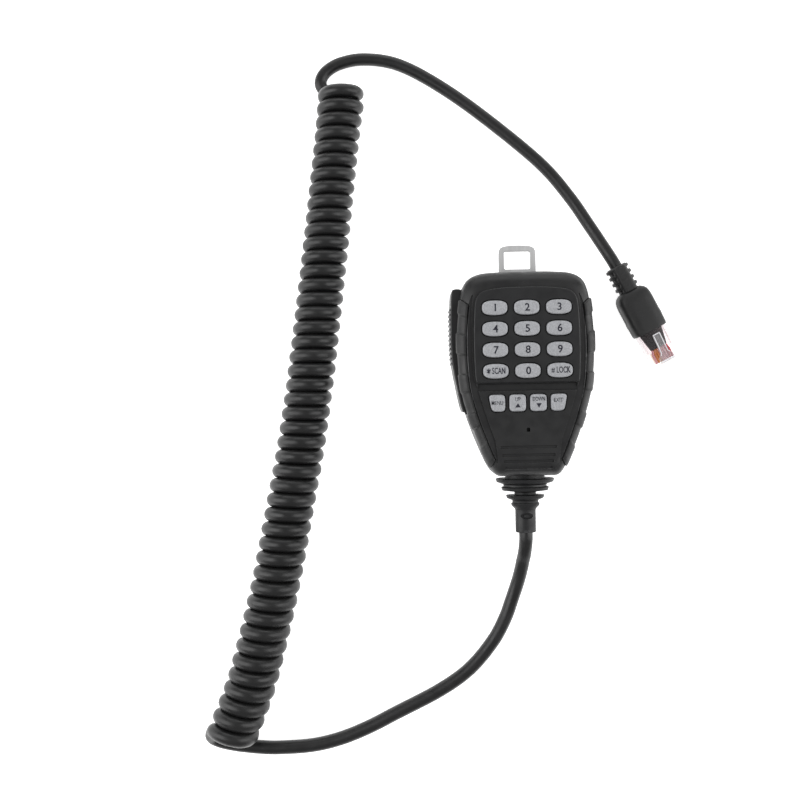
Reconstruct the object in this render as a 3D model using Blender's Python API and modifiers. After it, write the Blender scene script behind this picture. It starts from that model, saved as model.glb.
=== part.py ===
"""Hand microphone for a mobile radio: two-part case with a 16-key pad, a side push-to-talk lever,
a hanger plate, a coiled cord and a modular plug.

Frame: the microphone lies on its back on the plane z = 0 with its keys up. +Y runs along the case
towards the hanger plate, +X is to the right of the keypad and +Z points up out of the keys. The
origin is on the flat back, on the case's centre line, halfway along the case.
Lengths below are millimetres; MM turns them into Blender's metres.
"""
import math

import bmesh
import bpy
from mathutils import Matrix, Vector

MM = 0.001
GAP = 0.3                      # clearance between two pieces that touch

# ---- case ----
HALF_WIDTH = 26.8
HALF_LENGTH = 40.0
FRONT_Z = 27.0                 # flat front face
PARTING_Z = 13.0               # plane where the two shells meet
WALL = 2.2
FRONT_RADIUS = 5.5             # shoulder round the front face
REAR_RADIUS = 5.0
CASE_SIDE = [                  # right half of the plan outline, top to bottom
    (10.0, 39.6), (17.0, 38.7), (21.5, 36.0), (24.2, 31.9), (25.6, 26.0), (26.4, 18.0),
    (26.6, 10.0), (26.1, 0.0), (25.0, -8.0), (22.8, -16.0), (20.4, -23.0), (17.6, -30.0),
    (15.1, -35.6), (13.0, -38.9), (11.0, -40.0)]

# ---- keypad ----
BEZEL_SIDE = [                 # right half of the raised keypad panel, top to bottom
    (9.0, 32.9), (15.5, 32.0), (18.3, 30.4), (19.8, 27.0), (20.4, 18.0), (20.5, 8.0),
    (20.2, -1.0), (19.8, -3.8)]
BEZEL_TOP = 28.5
NUMBER_SIZE = (9.7, 5.6)
NUMBER_PITCH = (12.3, 8.1)
NUMBER_TOP = BEZEL_TOP + 1.0
FIRST_ROW_Y = 25.1
FUNCTION_SIZE = (6.4, 6.5)
FUNCTION_PITCH = 8.0
FUNCTION_Y = -11.5
FUNCTION_TOP = FRONT_Z + 1.0
FUNCTION_SLANT = 1.3           # how far the outer side of the end keys leans in
KEY_TRAVEL = 0.8
WELL_CLEARANCE = 0.35
FLANGE_TOP = FRONT_Z - WALL - 0.5
FLANGE_BOTTOM = FLANGE_TOP - 0.7
NUMBER_KEYS = [["1", "2", "3"], ["4", "5", "6"], ["7", "8", "9"], ["star", "0", "hash"]]
FUNCTION_KEYS = ["menu", "up", "down", "exit"]

# ---- inside ----
MAT_TOP = FLANGE_BOTTOM - KEY_TRAVEL - GAP
MAT_THICK = 0.8
BOARD_TOP = MAT_TOP - MAT_THICK - GAP
BOARD_THICK = 1.6
BOARD_BOTTOM = BOARD_TOP - BOARD_THICK
CAPSULE_Y = -21.9
CAPSULE_RADIUS = 4.85

# ---- case screws, driven from the back ----
SCREW_PLACES = [(14.8, 32.2), (-14.8, 32.2), (10.3, -30.5), (-10.3, -30.5)]
SHANK_RADIUS = 1.0
HEAD_RADIUS = 2.2
HEAD_BOTTOM = 2.4
HEAD_TOP = 4.1
SHANK_TOP = 19.0
REAR_BOSS_TOP = 6.9

# ---- push-to-talk lever ----
PTT_PIVOT = (-21.0, -12.0)
PTT_BOTTOM = 6.4
PTT_TOP = 19.6
PTT_OUTLINE = [
    (-24.4, 33.3), (-26.9, 33.6), (-28.2, 32.5), (-28.7, 26.5), (-28.9, 20.0), (-28.9, 12.0),
    (-28.6, 5.5), (-27.8, 0.0), (-26.9, -5.0), (-25.9, -10.0), (-24.8, -14.2), (-23.6, -15.0),
    (-21.6, -14.3), (-19.6, -13.2), (-19.0, -11.6), (-19.8, -10.0), (-22.8, -8.8), (-23.6, -5.0),
    (-23.6, 8.8), (-22.8, 9.2), (-22.8, 10.8), (-23.6, 11.2), (-23.6, 31.4)]
SWITCH_Y = 10.0

# ---- hanger plate ----
HANGER_X = -0.7
HANGER_WIDTH = 15.1
HANGER_REACH = 52.3
HANGER_WINDOW = (10.5, 7.2, 46.2)     # width, height, middle y
HANGER_BOTTOM = 6.0
HANGER_THICK = 1.2
HANGER_SCREW_Y = 32.0
HANGER_SCREWS = [HANGER_X - 4.0, HANGER_X + 4.0]

# ---- strain relief, cord and plug ----
GROMMET_Z = 13.0
GROMMET_FLATTEN = 0.75
GROMMET_NECK = 7.9
GROMMET_PROFILE = [            # (radius, place along the axis), inner end first
    (0.0, 3.9), (9.6, 3.9), (9.6, 2.5), (GROMMET_NECK, 2.5), (GROMMET_NECK, -1.6), (11.65, -1.6),
    (11.2, -3.0), (8.7, -3.9), (8.7, -4.9), (9.5, -5.0), (9.2, -6.4), (4.3, -7.0), (4.3, -8.2),
    (7.7, -8.3), (7.3, -9.5), (5.2, -10.4), (5.2, -11.4), (5.7, -11.5), (5.5, -12.5),
    (4.1, -14.1), (4.1, -23.2), (0.0, -23.2)]
CORD_DIAMETER = 5.3
CORD_REST = CORD_DIAMETER / 2 + 0.05
COIL_DIAMETER = 19.0
COIL_REST = COIL_DIAMETER / 2 + 0.05
COIL_AXIS = [                  # from the plug end to the microphone end
    (-70.3, 116.0), (-74.4, 82.0), (-77.8, 54.5), (-81.0, 30.0), (-85.2, -0.8), (-89.6, -28.0),
    (-93.8, -49.0), (-98.0, -70.0), (-102.3, -89.5), (-108.6, -113.5), (-112.5, -126.0),
    (-119.9, -146.9)]
MIC_LEAD = [                   # from the strain relief to the coil
    (0.0, -63.6, 13.0), (0.0, -66.5, 12.8), (-0.3, -71.5, 10.6), (-0.8, -75.5, 8.0),
    (-2.2, -83.0, 4.9), (-4.9, -91.7, 3.1), (-8.0, -100.0, CORD_REST),
    (-13.2, -109.2, CORD_REST), (-22.7, -120.1, CORD_REST), (-35.1, -128.7, CORD_REST),
    (-53.2, -137.7, CORD_REST), (-64.8, -143.4, CORD_REST), (-76.4, -147.8, CORD_REST),
    (-88.0, -150.3, CORD_REST), (-101.2, -151.0, CORD_REST), (-108.6, -150.7, CORD_REST),
    (-115.5, -149.9, CORD_REST), (-120.9, -149.4, CORD_REST)]
PLUG_LEAD = [                  # from the coil to the plug, without its last point
    (-70.2, 116.8, CORD_REST), (-75.9, 117.0, CORD_REST), (-78.9, 119.3, CORD_REST),
    (-79.0, 122.6, CORD_REST), (-76.3, 126.1, CORD_REST), (-70.7, 129.0, CORD_REST),
    (-61.4, 130.4, CORD_REST), (-48.7, 128.4, CORD_REST), (-34.5, 121.3, CORD_REST),
    (-15.9, 108.3, CORD_REST), (8.8, 87.6, CORD_REST), (21.2, 73.2, CORD_REST),
    (30.0, 59.7, 3.4), (35.5, 50.4, 4.9)]
PLUG_PLACE = (39.9, 42.4, 5.75)     # middle of the boot's back end
PLUG_TURN = math.radians(-153.1)    # turns the plug's own +Y to the way that it points
PLUG_WIDTH = 11.68
PLUG_HEIGHT = 6.6
PLUG_START = 20.5
PLUG_NOSE = 43.0
HOOD_END = 28.2
LATCH_HINGE = (42.0, 3.9)
CONTACT_COUNT = 8
CONTACT_PITCH = 1.02


def clear_scene():
    for obj in list(bpy.data.objects):
        bpy.data.objects.remove(obj, do_unlink=True)


def new_collection(name):
    group = bpy.data.collections.new(name)
    bpy.context.scene.collection.children.link(group)
    return group


def make_material(name, color, roughness, metallic=0.0, alpha=1.0):
    made = bpy.data.materials.new(name)
    made.use_nodes = True
    shader = made.node_tree.nodes["Principled BSDF"]
    shader.inputs["Base Color"].default_value = (*color, 1.0)
    shader.inputs["Roughness"].default_value = roughness
    shader.inputs["Metallic"].default_value = metallic
    shader.inputs["Alpha"].default_value = alpha
    return made


# ---------------------------------------------------------------- shape helpers
def own_object(name, mesh, material=None, parent=None):
    """An object in the part's collection, shaded smooth across shallow edges."""
    mesh.shade_smooth()
    mesh.set_sharp_from_angle(angle=math.radians(35))
    obj = bpy.data.objects.new(name, mesh)
    PARTS.objects.link(obj)
    if material:
        mesh.materials.clear()
        mesh.materials.append(material)
    obj.parent = parent
    return obj


def evaluated_mesh(obj):
    """A new mesh of the object with its modifiers, welded and in world space."""
    bpy.context.view_layer.update()
    graph = bpy.context.evaluated_depsgraph_get()
    mesh = bpy.data.meshes.new_from_object(obj.evaluated_get(graph), depsgraph=graph)
    bm = bmesh.new()
    bm.from_mesh(mesh)
    bmesh.ops.transform(bm, matrix=obj.matrix_world, verts=bm.verts)
    bmesh.ops.remove_doubles(bm, verts=bm.verts, dist=1e-6)
    bm.to_mesh(mesh)
    bm.free()
    return mesh


def gather(name, pieces):
    """Joins helper pieces that don't touch into one object for a Boolean."""
    bm = bmesh.new()
    for piece in pieces:
        mesh = evaluated_mesh(piece)
        bm.from_mesh(mesh)
        bpy.data.meshes.remove(mesh)
        bpy.data.objects.remove(piece, do_unlink=True)
    mesh = bpy.data.meshes.new(name)
    bm.to_mesh(mesh)
    bm.free()
    tool = bpy.data.objects.new(name, mesh)
    CUTTERS.objects.link(tool)
    tool.hide_render = True
    tool.display_type = 'WIRE'
    return tool


def boolean(target, tool, operation='DIFFERENCE'):
    step = target.modifiers.new(tool.name, 'BOOLEAN')
    step.operation = operation
    step.solver = 'EXACT'
    step.object = tool


def box(name, low, high, material=None, parent=None, edge=0.0):
    """A box from its lowest to its highest corner, with its edges rounded by `edge`."""
    bm = bmesh.new()
    bmesh.ops.create_cube(bm, size=1.0)
    size = [(high[i] - low[i]) * MM for i in range(3)]
    middle = [(high[i] + low[i]) / 2 * MM for i in range(3)]
    bmesh.ops.scale(bm, vec=size, verts=bm.verts)
    bmesh.ops.translate(bm, vec=middle, verts=bm.verts)
    mesh = bpy.data.meshes.new(name)
    bm.to_mesh(mesh)
    bm.free()
    obj = own_object(name, mesh, material, parent)
    if edge:
        round_edges(obj, edge, 2)
    return obj


def round_edges(obj, width, segments, angle=40):
    step = obj.modifiers.new("Bevel", 'BEVEL')
    step.width = width * MM
    step.segments = segments
    step.limit_method = 'ANGLE'
    step.angle_limit = math.radians(angle)


def cylinder(name, place, radius, z_low, z_high, material=None, parent=None, sides=16):
    """An upright cylinder at (x, y) from z_low to z_high."""
    bm = bmesh.new()
    bmesh.ops.create_cone(bm, cap_ends=True, segments=sides, radius1=radius * MM,
                          radius2=radius * MM, depth=(z_high - z_low) * MM)
    middle = (place[0] * MM, place[1] * MM, (z_low + z_high) / 2 * MM)
    bmesh.ops.translate(bm, vec=middle, verts=bm.verts)
    mesh = bpy.data.meshes.new(name)
    bm.to_mesh(mesh)
    bm.free()
    return own_object(name, mesh, material, parent)


def stack(name, outline, rings, material=None, parent=None, middle=(0.0, 0.0), open_base=False):
    """Extrudes a flat outline up through rings of (z, x scale, y scale) about `middle`."""
    bm = bmesh.new()
    face = bm.faces.new([bm.verts.new((x * MM, y * MM, 0.0)) for x, y in outline])
    base = face
    last = (1.0, 1.0)
    for index, (z, scale_x, scale_y) in enumerate(rings):
        if index:
            grown = bmesh.ops.extrude_face_region(bm, geom=[face])["geom"]
            if face is not base:
                bm.faces.remove(face)
            face = [item for item in grown if isinstance(item, bmesh.types.BMFace)][0]
        for vert in face.verts:
            vert.co.x = middle[0] * MM + (vert.co.x - middle[0] * MM) * scale_x / last[0]
            vert.co.y = middle[1] * MM + (vert.co.y - middle[1] * MM) * scale_y / last[1]
            vert.co.z = z * MM
        last = (scale_x, scale_y)
    bmesh.ops.recalc_face_normals(bm, faces=bm.faces)
    if open_base:
        bmesh.ops.delete(bm, geom=[base], context='FACES_ONLY')
    mesh = bpy.data.meshes.new(name)
    bm.to_mesh(mesh)
    bm.free()
    return own_object(name, mesh, material, parent)


def turned(name, profile, material=None, parent=None, steps=16):
    """Turns a (radius, z) profile about the object's own Z with a Screw modifier."""
    mesh = bpy.data.meshes.new(name)
    points = [(radius * MM, 0.0, z * MM) for radius, z in profile]
    mesh.from_pydata(points, [(i, i + 1) for i in range(len(points) - 1)], [])
    obj = own_object(name, mesh, material, parent)
    screw = obj.modifiers.new("Screw", 'SCREW')
    screw.axis = 'Z'
    screw.steps = steps
    screw.render_steps = steps
    screw.use_merge_vertices = True
    screw.merge_threshold = 0.00001
    screw.use_smooth_shade = True
    return obj


def smooth_route(points, cuts):
    """Points on a smooth curve through the route's own points, `cuts` to each stretch."""
    route = [Vector(point) for point in points]
    route = [2 * route[0] - route[1]] + route + [2 * route[-1] - route[-2]]
    result = []
    for i in range(1, len(route) - 2):
        before, start, end, after = route[i - 1:i + 3]
        for cut in range(cuts):
            t = cut / cuts
            result.append(0.5 * (2 * start + (end - before) * t
                                 + (2 * before - 5 * start + 4 * end - after) * t * t
                                 + (3 * start - before - 3 * end + after) * t ** 3))
    return result + [route[-2]]


def tube(name, points, diameter, material, parent=None, sides_level=2):
    """A round tube with filled ends along the points."""
    curve = bpy.data.curves.new(name, 'CURVE')
    curve.dimensions = '3D'
    curve.bevel_depth = diameter / 2 * MM
    curve.bevel_resolution = sides_level
    curve.use_fill_caps = True
    spline = curve.splines.new('POLY')
    spline.points.add(len(points) - 1)
    for place, point in zip(spline.points, points):
        place.co = (point[0] * MM, point[1] * MM, point[2] * MM, 1.0)
    curve.materials.append(material)
    obj = bpy.data.objects.new(name, curve)
    PARTS.objects.link(obj)
    obj.parent = parent
    return obj


def mirrored(side):
    """A closed outline from its right half, which runs from top to bottom."""
    return side + [(-x, y) for x, y in reversed(side)]


def superellipse(width, height, power_x, power_y, count):
    """A rounded outline: higher powers square it off."""
    outline = []
    for index in range(count):
        angle = 2 * math.pi * (index + 0.5) / count
        c = math.cos(angle)
        s = math.sin(angle)
        outline.append((math.copysign(abs(c) ** (2 / power_x), c) * width / 2,
                        math.copysign(abs(s) ** (2 / power_y), s) * height / 2))
    return outline


def shift(outline, place):
    return [(x + place[0], y + place[1]) for x, y in outline]


# ---------------------------------------------------------------- case
def shoulder_rings(rim_z, face_z, radius):
    """Rings from the rim, up or down the straight wall and round the shoulder to the face."""
    way = 1.0 if face_z > rim_z else -1.0
    rings = [(rim_z, 1.0, 1.0)]
    for degrees in (0, 30, 60, 90):
        angle = math.radians(degrees)
        inset = radius * (1 - math.cos(angle))
        z = face_z - way * radius * (1 - math.sin(angle))
        rings.append((z, 1 - inset / HALF_WIDTH, 1 - inset / HALF_LENGTH))
    return rings


def shell(name, rim_z, face_z, radius, material):
    """An open shell of even wall from the case's outline."""
    obj = stack(name, mirrored(CASE_SIDE), shoulder_rings(rim_z, face_z, radius), material,
                open_base=True)
    wall = obj.modifiers.new("Wall", 'SOLIDIFY')
    wall.thickness = WALL * MM
    wall.offset = -1.0
    wall.use_even_offset = True
    return obj


def side_x(y):
    """Half width of the case outline at y."""
    for (x0, y0), (x1, y1) in zip(CASE_SIDE[:-1], CASE_SIDE[1:]):
        if y1 <= y <= y0:
            return x0 + (x1 - x0) * (y0 - y) / (y0 - y1)
    return CASE_SIDE[-1][0]


def shoulder_band(name, side, stations, degrees, low, material=None):
    """A band that lies on the front shoulder: each station is (y, height above the shell)."""
    bm = bmesh.new()
    rings = []
    for y, high in stations:
        ring = []
        section = [(angle, high) for angle in degrees] + [(angle, low) for angle in degrees[::-1]]
        for angle, height in section:
            reach = FRONT_RADIUS + height
            inset = FRONT_RADIUS - reach * math.cos(math.radians(angle))
            z = FRONT_Z - FRONT_RADIUS + reach * math.sin(math.radians(angle))
            ring.append(bm.verts.new((side * side_x(y) * (1 - inset / HALF_WIDTH) * MM,
                                      y * (1 - inset / HALF_LENGTH) * MM, z * MM)))
        rings.append(ring)
    for first, second in zip(rings[:-1], rings[1:]):
        for i in range(len(first)):
            j = (i + 1) % len(first)
            bm.faces.new((first[i], first[j], second[j], second[i]))
    bm.faces.new(rings[0])
    bm.faces.new(rings[-1])
    bmesh.ops.recalc_face_normals(bm, faces=bm.faces)
    mesh = bpy.data.meshes.new(name)
    bm.to_mesh(mesh)
    bm.free()
    return own_object(name, mesh, material)


GRIP_STATIONS = [
    (29.0, 0), (28.0, 1), (23.8, 1), (22.8, 0), (16.5, 0), (15.5, 1), (8.4, 1), (7.4, 0),
    (0.4, 0), (-0.6, 1), (-6.9, 1), (-7.9, 0), (-15.3, 0), (-16.3, 1), (-21.0, 1), (-22.0, 0),
    (-28.0, 0), (-29.0, 1), (-36.3, 1)]


def side_grips(material):
    """The two grip strips with their raised pads, and the recesses they sit in."""
    recesses = []
    for side, word in ((1, "right"), (-1, "left")):
        stations = [(y, 0.4 + 0.5 * pad) for y, pad in GRIP_STATIONS]
        shoulder_band("side_grip_" + word, side, stations, [12, 30, 48, 66], -0.7, material)
        ends = [(GRIP_STATIONS[0][0] + GAP, 3.0)] + [(y, 3.0) for y, pad in GRIP_STATIONS[2:-1:3]]
        ends.append((GRIP_STATIONS[-1][0] - GAP, 3.0))
        recesses.append(shoulder_band("recess_" + word, side, ends, [8, 30, 48, 70], -1.0))
    return recesses


def number_outline(grow=0.0):
    return superellipse(NUMBER_SIZE[0] + 2 * grow, NUMBER_SIZE[1] + 2 * grow, 2.6, 3.0, 12)


def function_outline(slant, grow=0.0):
    """A rounded square; slant -1 leans its left side in towards the bottom, +1 its right side."""
    outline = []
    for x, y in superellipse(FUNCTION_SIZE[0] + 2 * grow, FUNCTION_SIZE[1] + 2 * grow, 5, 5, 12):
        lean = FUNCTION_SLANT * (0.5 - y / FUNCTION_SIZE[1]) * slant
        outline.append((x - lean, y) if x * slant > 0 else (x, y))
    return outline


def key_layout():
    """Every key as (name, place, outline function, top, flange scale)."""
    layout = []
    for row, names in enumerate(NUMBER_KEYS):
        for column, name in enumerate(names):
            place = ((column - 1) * NUMBER_PITCH[0], FIRST_ROW_Y - row * NUMBER_PITCH[1])
            layout.append((name, place, number_outline, NUMBER_TOP, (1.15, 1.22)))
    for column, name in enumerate(FUNCTION_KEYS):
        slant = {0: -1, 3: 1}.get(column, 0)
        place = ((column - 1.5) * FUNCTION_PITCH, FUNCTION_Y)

        def outline(grow=0.0, slant=slant):
            return function_outline(slant, grow)
        layout.append((name, place, outline, FUNCTION_TOP, (1.13, 1.22)))
    return layout


def keys_and_wells(material):
    """The sixteen key caps, each with a flange that keeps it in, and the cutters of their wells."""
    wells = []
    for name, place, outline, top, flange in key_layout():
        rings = [(FLANGE_BOTTOM, *flange), (FLANGE_TOP, *flange), (FLANGE_TOP, 1.0, 1.0),
                 (top - 0.5, 1.0, 1.0), (top, 0.92, 0.88)]
        rings = [(z - top, scale_x, scale_y) for z, scale_x, scale_y in rings]
        key = stack("key_" + name, outline(), rings, material)
        key.location = (place[0] * MM, place[1] * MM, top * MM)
        well = stack("well_" + name, shift(outline(WELL_CLEARANCE), place),
                     [(FLANGE_TOP + 0.1, 1.0, 1.0), (BEZEL_TOP + 2.0, 1.0, 1.0)])
        wells.append(well)
    return wells


def front_shell(material, wells, notches, recesses):
    obj = shell("front_shell", PARTING_Z + GAP / 2, FRONT_Z, FRONT_RADIUS, material)
    bosses = [cylinder("boss", place, 2.4, REAR_BOSS_TOP + GAP, FRONT_Z - 1.2, sides=12)
              for place in SCREW_PLACES]
    boolean(obj, gather("front_bosses", bosses), 'UNION')
    boolean(obj, notches)
    boolean(obj, wells)
    boolean(obj, gather("grip_recesses", recesses))
    details = [cylinder("pilot", place, SHANK_RADIUS + GAP, REAR_BOSS_TOP - 1.0, SHANK_TOP + 1.0,
                        sides=12) for place in SCREW_PLACES]
    details.append(cylinder("sound_hole", (0.0, CAPSULE_Y), 0.7, FRONT_Z - WALL - 1, FRONT_Z + 1,
                            sides=10))
    details.append(box("step", (-19.3, -6.8, FRONT_Z - 1.0), (19.3, -4.1, FRONT_Z + 2.0)))
    for y, reach, floor in ((-28.6, 10.9, 0.6), (-31.7, 10.3, 0.6), (-34.1, 9.7, 0.7),
                            (-36.5, 9.2, 1.1)):
        details.append(box("groove", (-reach, y - 0.45, FRONT_Z - floor),
                           (reach, y + 0.45, FRONT_Z + 2.0)))
    boolean(obj, gather("front_details", details))
    return obj


def rear_shell(material, notches):
    obj = shell("rear_shell", PARTING_Z - GAP / 2, 0.0, REAR_RADIUS, material)
    bosses = [cylinder("boss", place, 3.4, 1.2, REAR_BOSS_TOP, sides=12)
              for place in SCREW_PLACES]
    bosses += [cylinder("boss", (x, HANGER_SCREW_Y), 2.1, 1.2, HANGER_BOTTOM - GAP, sides=12)
               for x in HANGER_SCREWS]
    bosses.append(cylinder("boss", PTT_PIVOT, 2.1, 1.2, PTT_BOTTOM - 2 * GAP, sides=12))
    boolean(obj, gather("rear_bosses", bosses), 'UNION')
    boolean(obj, notches)
    holes = []
    for place in SCREW_PLACES:
        profile = [(0.0, REAR_BOSS_TOP + 1), (SHANK_RADIUS + GAP, REAR_BOSS_TOP + 1),
                   (SHANK_RADIUS + GAP, HEAD_TOP + GAP), (HEAD_RADIUS + GAP, HEAD_TOP + GAP),
                   (HEAD_RADIUS + GAP, -1.0), (0.0, -1.0)]
        hole = turned("screw_hole", profile, steps=12)
        hole.location = (place[0] * MM, place[1] * MM, 0.0)
        holes.append(hole)
    holes += [cylinder("pilot", (x, HANGER_SCREW_Y), 1.1, 2.5, HANGER_BOTTOM + 1, sides=10)
              for x in HANGER_SCREWS]
    holes.append(cylinder("pin_hole", PTT_PIVOT, 1.3, 2.5, PTT_BOTTOM + 1, sides=12))
    holes.append(box("hanger_slot", (HANGER_X - HANGER_WIDTH / 2 - GAP, 35.0, HANGER_BOTTOM - GAP),
                     (HANGER_X + HANGER_WIDTH / 2 + GAP, 43.0,
                      HANGER_BOTTOM + HANGER_THICK + GAP)))
    boolean(obj, gather("rear_details", holes))
    return obj


def shell_notches():
    """What both shells make room for: the lever in the left wall and the cord's neck."""
    lever = box("lever_notch", (-33.0, -15.8, PTT_BOTTOM - 0.4), (-19.0, 34.1, PTT_TOP + 0.4))
    neck = turned("neck_notch", [(0.0, 3.0), (GROMMET_NECK + GAP, 3.0),
                                 (GROMMET_NECK + GAP, -4.0), (0.0, -4.0)], steps=20)
    lay_along_case(neck)
    return gather("shell_notches", [lever, neck])


def lay_along_case(obj):
    """Turns a turned shape so its axis lies along the cord's way out of the case."""
    obj.location = (0.0, -HALF_LENGTH * MM, GROMMET_Z * MM)
    obj.rotation_euler = (math.radians(-90), 0.0, 0.0)
    obj.scale = (1.0, GROMMET_FLATTEN, 1.0)


def keypad_bezel(material, wells):
    obj = stack("keypad_bezel", mirrored(BEZEL_SIDE),
                [(FRONT_Z + GAP, 1.0, 1.0), (BEZEL_TOP - 0.5, 1.0, 1.0), (BEZEL_TOP, 0.975, 0.985)],
                material, middle=(0.0, 14.0))
    boolean(obj, wells)
    return obj


def screw(name, place, head_radius, shank_radius, levels, material):
    """A pan head screw: levels are the head's outer face, its seat and the shank's far end."""
    face, seat, tip = levels
    profile = [(0.0, face), (head_radius * 0.8, face), (head_radius, (face + seat) / 2),
               (head_radius, seat), (shank_radius, seat), (shank_radius, tip), (0.0, tip)]
    if tip > face:
        profile = profile[::-1]
    obj = turned(name, [(radius, z - seat) for radius, z in profile], material, steps=12)
    obj.location = (place[0] * MM, place[1] * MM, seat * MM)
    return obj


def hanger(material, screw_material):
    """The steel plate with its square window, and the two screws that hold it to the rear shell."""
    half = HANGER_WIDTH / 2
    side = [(3.5, HANGER_REACH), (half - 1.2, HANGER_REACH - 0.7), (half, HANGER_REACH - 2.0),
            (half, 28.6), (half - 0.6, 28.0)]
    bottom = HANGER_BOTTOM
    top = HANGER_BOTTOM + HANGER_THICK
    obj = stack("hanger_plate", shift(mirrored(side), (HANGER_X, 0.0)),
                [(bottom, 1.0, 1.0), (top, 1.0, 1.0)], material)
    width, height, middle = HANGER_WINDOW
    window = stack("window", shift(superellipse(width, height, 9, 9, 16), (HANGER_X, middle)),
                   [(bottom - 1, 1.0, 1.0), (top + 1, 1.0, 1.0)])
    holes = [cylinder("hole", (x, HANGER_SCREW_Y), 1.1, bottom - 1, top + 1, sides=10)
             for x in HANGER_SCREWS]
    boolean(obj, gather("hanger_holes", [window] + holes))
    for index, x in enumerate(HANGER_SCREWS):
        screw("hanger_screw_" + str(index + 1), (x, HANGER_SCREW_Y), 1.9, 0.8,
              (top + GAP + 1.3, top + GAP, 2.9), screw_material)
    return obj


def lever_and_switch(lever_material, metal, switch_material):
    """The push-to-talk lever on its pin, and the switch whose plunger it pushes."""
    outline = [(x - PTT_PIVOT[0], y - PTT_PIVOT[1]) for x, y in PTT_OUTLINE]
    lever = stack("ptt_lever", outline, [(PTT_BOTTOM, 1.0, 1.0), (PTT_TOP, 1.0, 1.0)],
                  lever_material)
    round_edges(lever, 0.6, 2, angle=60)
    hole = cylinder("lever_hole", PTT_PIVOT, 1.3, PTT_BOTTOM - 1, PTT_TOP + 1, sides=12)
    boolean(lever, gather("lever_bore", [hole]))
    lever.location = (PTT_PIVOT[0] * MM, PTT_PIVOT[1] * MM, 0.0)
    cylinder("ptt_pivot_pin", PTT_PIVOT, 1.0, 2.9, PTT_TOP + 0.1, metal, sides=12)
    middle = BOARD_BOTTOM - GAP - 3.0
    body = box("ptt_switch", (-20.6, SWITCH_Y - 3.2, middle - 2.8), (-15.4, SWITCH_Y + 3.2,
               middle + 3.0), switch_material)
    pocket = box("pocket", (-21.5, SWITCH_Y - 1.3, middle - 1.3), (-18.4, SWITCH_Y + 1.3,
                 middle + 1.3))
    boolean(body, gather("switch_pocket", [pocket]))
    box("ptt_plunger", (-22.4, SWITCH_Y - 1.0, middle - 1.0), (-20.0, SWITCH_Y + 1.0,
        middle + 1.0), lever_material)


def insides(board_color, chip, silicone, metal, wire):
    """The keypad's silicone mat, the circuit board and its parts, and the microphone capsule."""
    half_x = 18.4
    low_y = -15.6
    high_y = 29.4
    mat = box("keypad_mat", (-half_x, low_y, MAT_TOP - MAT_THICK), (half_x, high_y, MAT_TOP),
              silicone)
    round_edges(mat, 0.25, 1)
    box("circuit_board", (-half_x, low_y, BOARD_BOTTOM), (half_x, high_y, BOARD_TOP), board_color)
    under = BOARD_BOTTOM - GAP
    box("controller_chip", (1.0, 8.0, under - 1.4), (10.0, 17.0, under), chip, edge=0.2)
    box("audio_chip", (-8.0, -6.0, under - 1.5), (-3.0, -2.0, under), chip, edge=0.2)
    box("cord_connector", (-6.0, -14.6, under - 4.6), (6.0, -10.4, under), silicone, edge=0.3)
    cylinder("filter_capacitor", (11.0, -3.0), 2.5, under - 5.4, under, metal, sides=14)
    boot_top = FRONT_Z - WALL - GAP
    wall = CAPSULE_RADIUS + GAP
    boot = turned("capsule_boot", [
        (0.0, boot_top - 4.6), (wall, boot_top - 4.6), (wall, boot_top), (wall + 1.1, boot_top),
        (wall + 1.1, boot_top - 5.7), (0.0, boot_top - 5.7)], silicone, steps=20)
    boot.location = (0.0, CAPSULE_Y * MM, 0.0)
    cylinder("microphone_capsule", (0.0, CAPSULE_Y), CAPSULE_RADIUS, boot_top - 4.3,
             boot_top - 0.2, metal, sides=20)
    start = (0.0, -HALF_LENGTH + 3.9 + GAP, GROMMET_Z)
    tube("cord_conductors", smooth_route([start, (0.0, -31.0, 12.4), (0.3, -24.0, 12.2),
                                          (0.5, -19.0, 13.6), (0.2, -14.9 - GAP / 2, 15.6)], 2),
         2.6, wire)


def grommet(material):
    obj = turned("cord_grommet", GROMMET_PROFILE, material, steps=18)
    lay_along_case(obj)


# ---------------------------------------------------------------- cord and plug
def trimmed_coil_axis():
    """The coil's axis, short at each end by the strand that leads away past its end face."""
    route = smooth_route([(x, y, COIL_REST) for x, y in COIL_AXIS], 2)
    trim = CORD_DIAMETER / 2 + GAP
    route[0] = route[0] + (route[1] - route[0]).normalized() * trim
    route[-1] = route[-1] + (route[-2] - route[-1]).normalized() * trim
    return route


def cord(material):
    tube("mic_lead", smooth_route(MIC_LEAD, 2), CORD_DIAMETER, material)
    tube("coiled_cord", trimmed_coil_axis(), COIL_DIAMETER, material, sides_level=4)
    place = Vector(PLUG_PLACE)
    way = Vector((-math.sin(PLUG_TURN), math.cos(PLUG_TURN), 0.0))
    ends = [tuple(place - way * (GAP + 2.5)), tuple(place - way * GAP)]
    tube("plug_lead", smooth_route(PLUG_LEAD + ends, 2), CORD_DIAMETER, material)


def plug_frame():
    """An empty at the boot's back end: the plug's own +Y points to its nose, +Z to its latch."""
    frame = bpy.data.objects.new("plug_frame", None)
    PARTS.objects.link(frame)
    frame.location = Vector(PLUG_PLACE) * MM
    frame.rotation_euler = (0.0, 0.0, PLUG_TURN)
    return frame


def along_plug(obj):
    """Turns a shape built up its own Z to run along the plug's +Y."""
    obj.rotation_euler = (math.radians(-90), 0.0, 0.0)
    return obj


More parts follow.
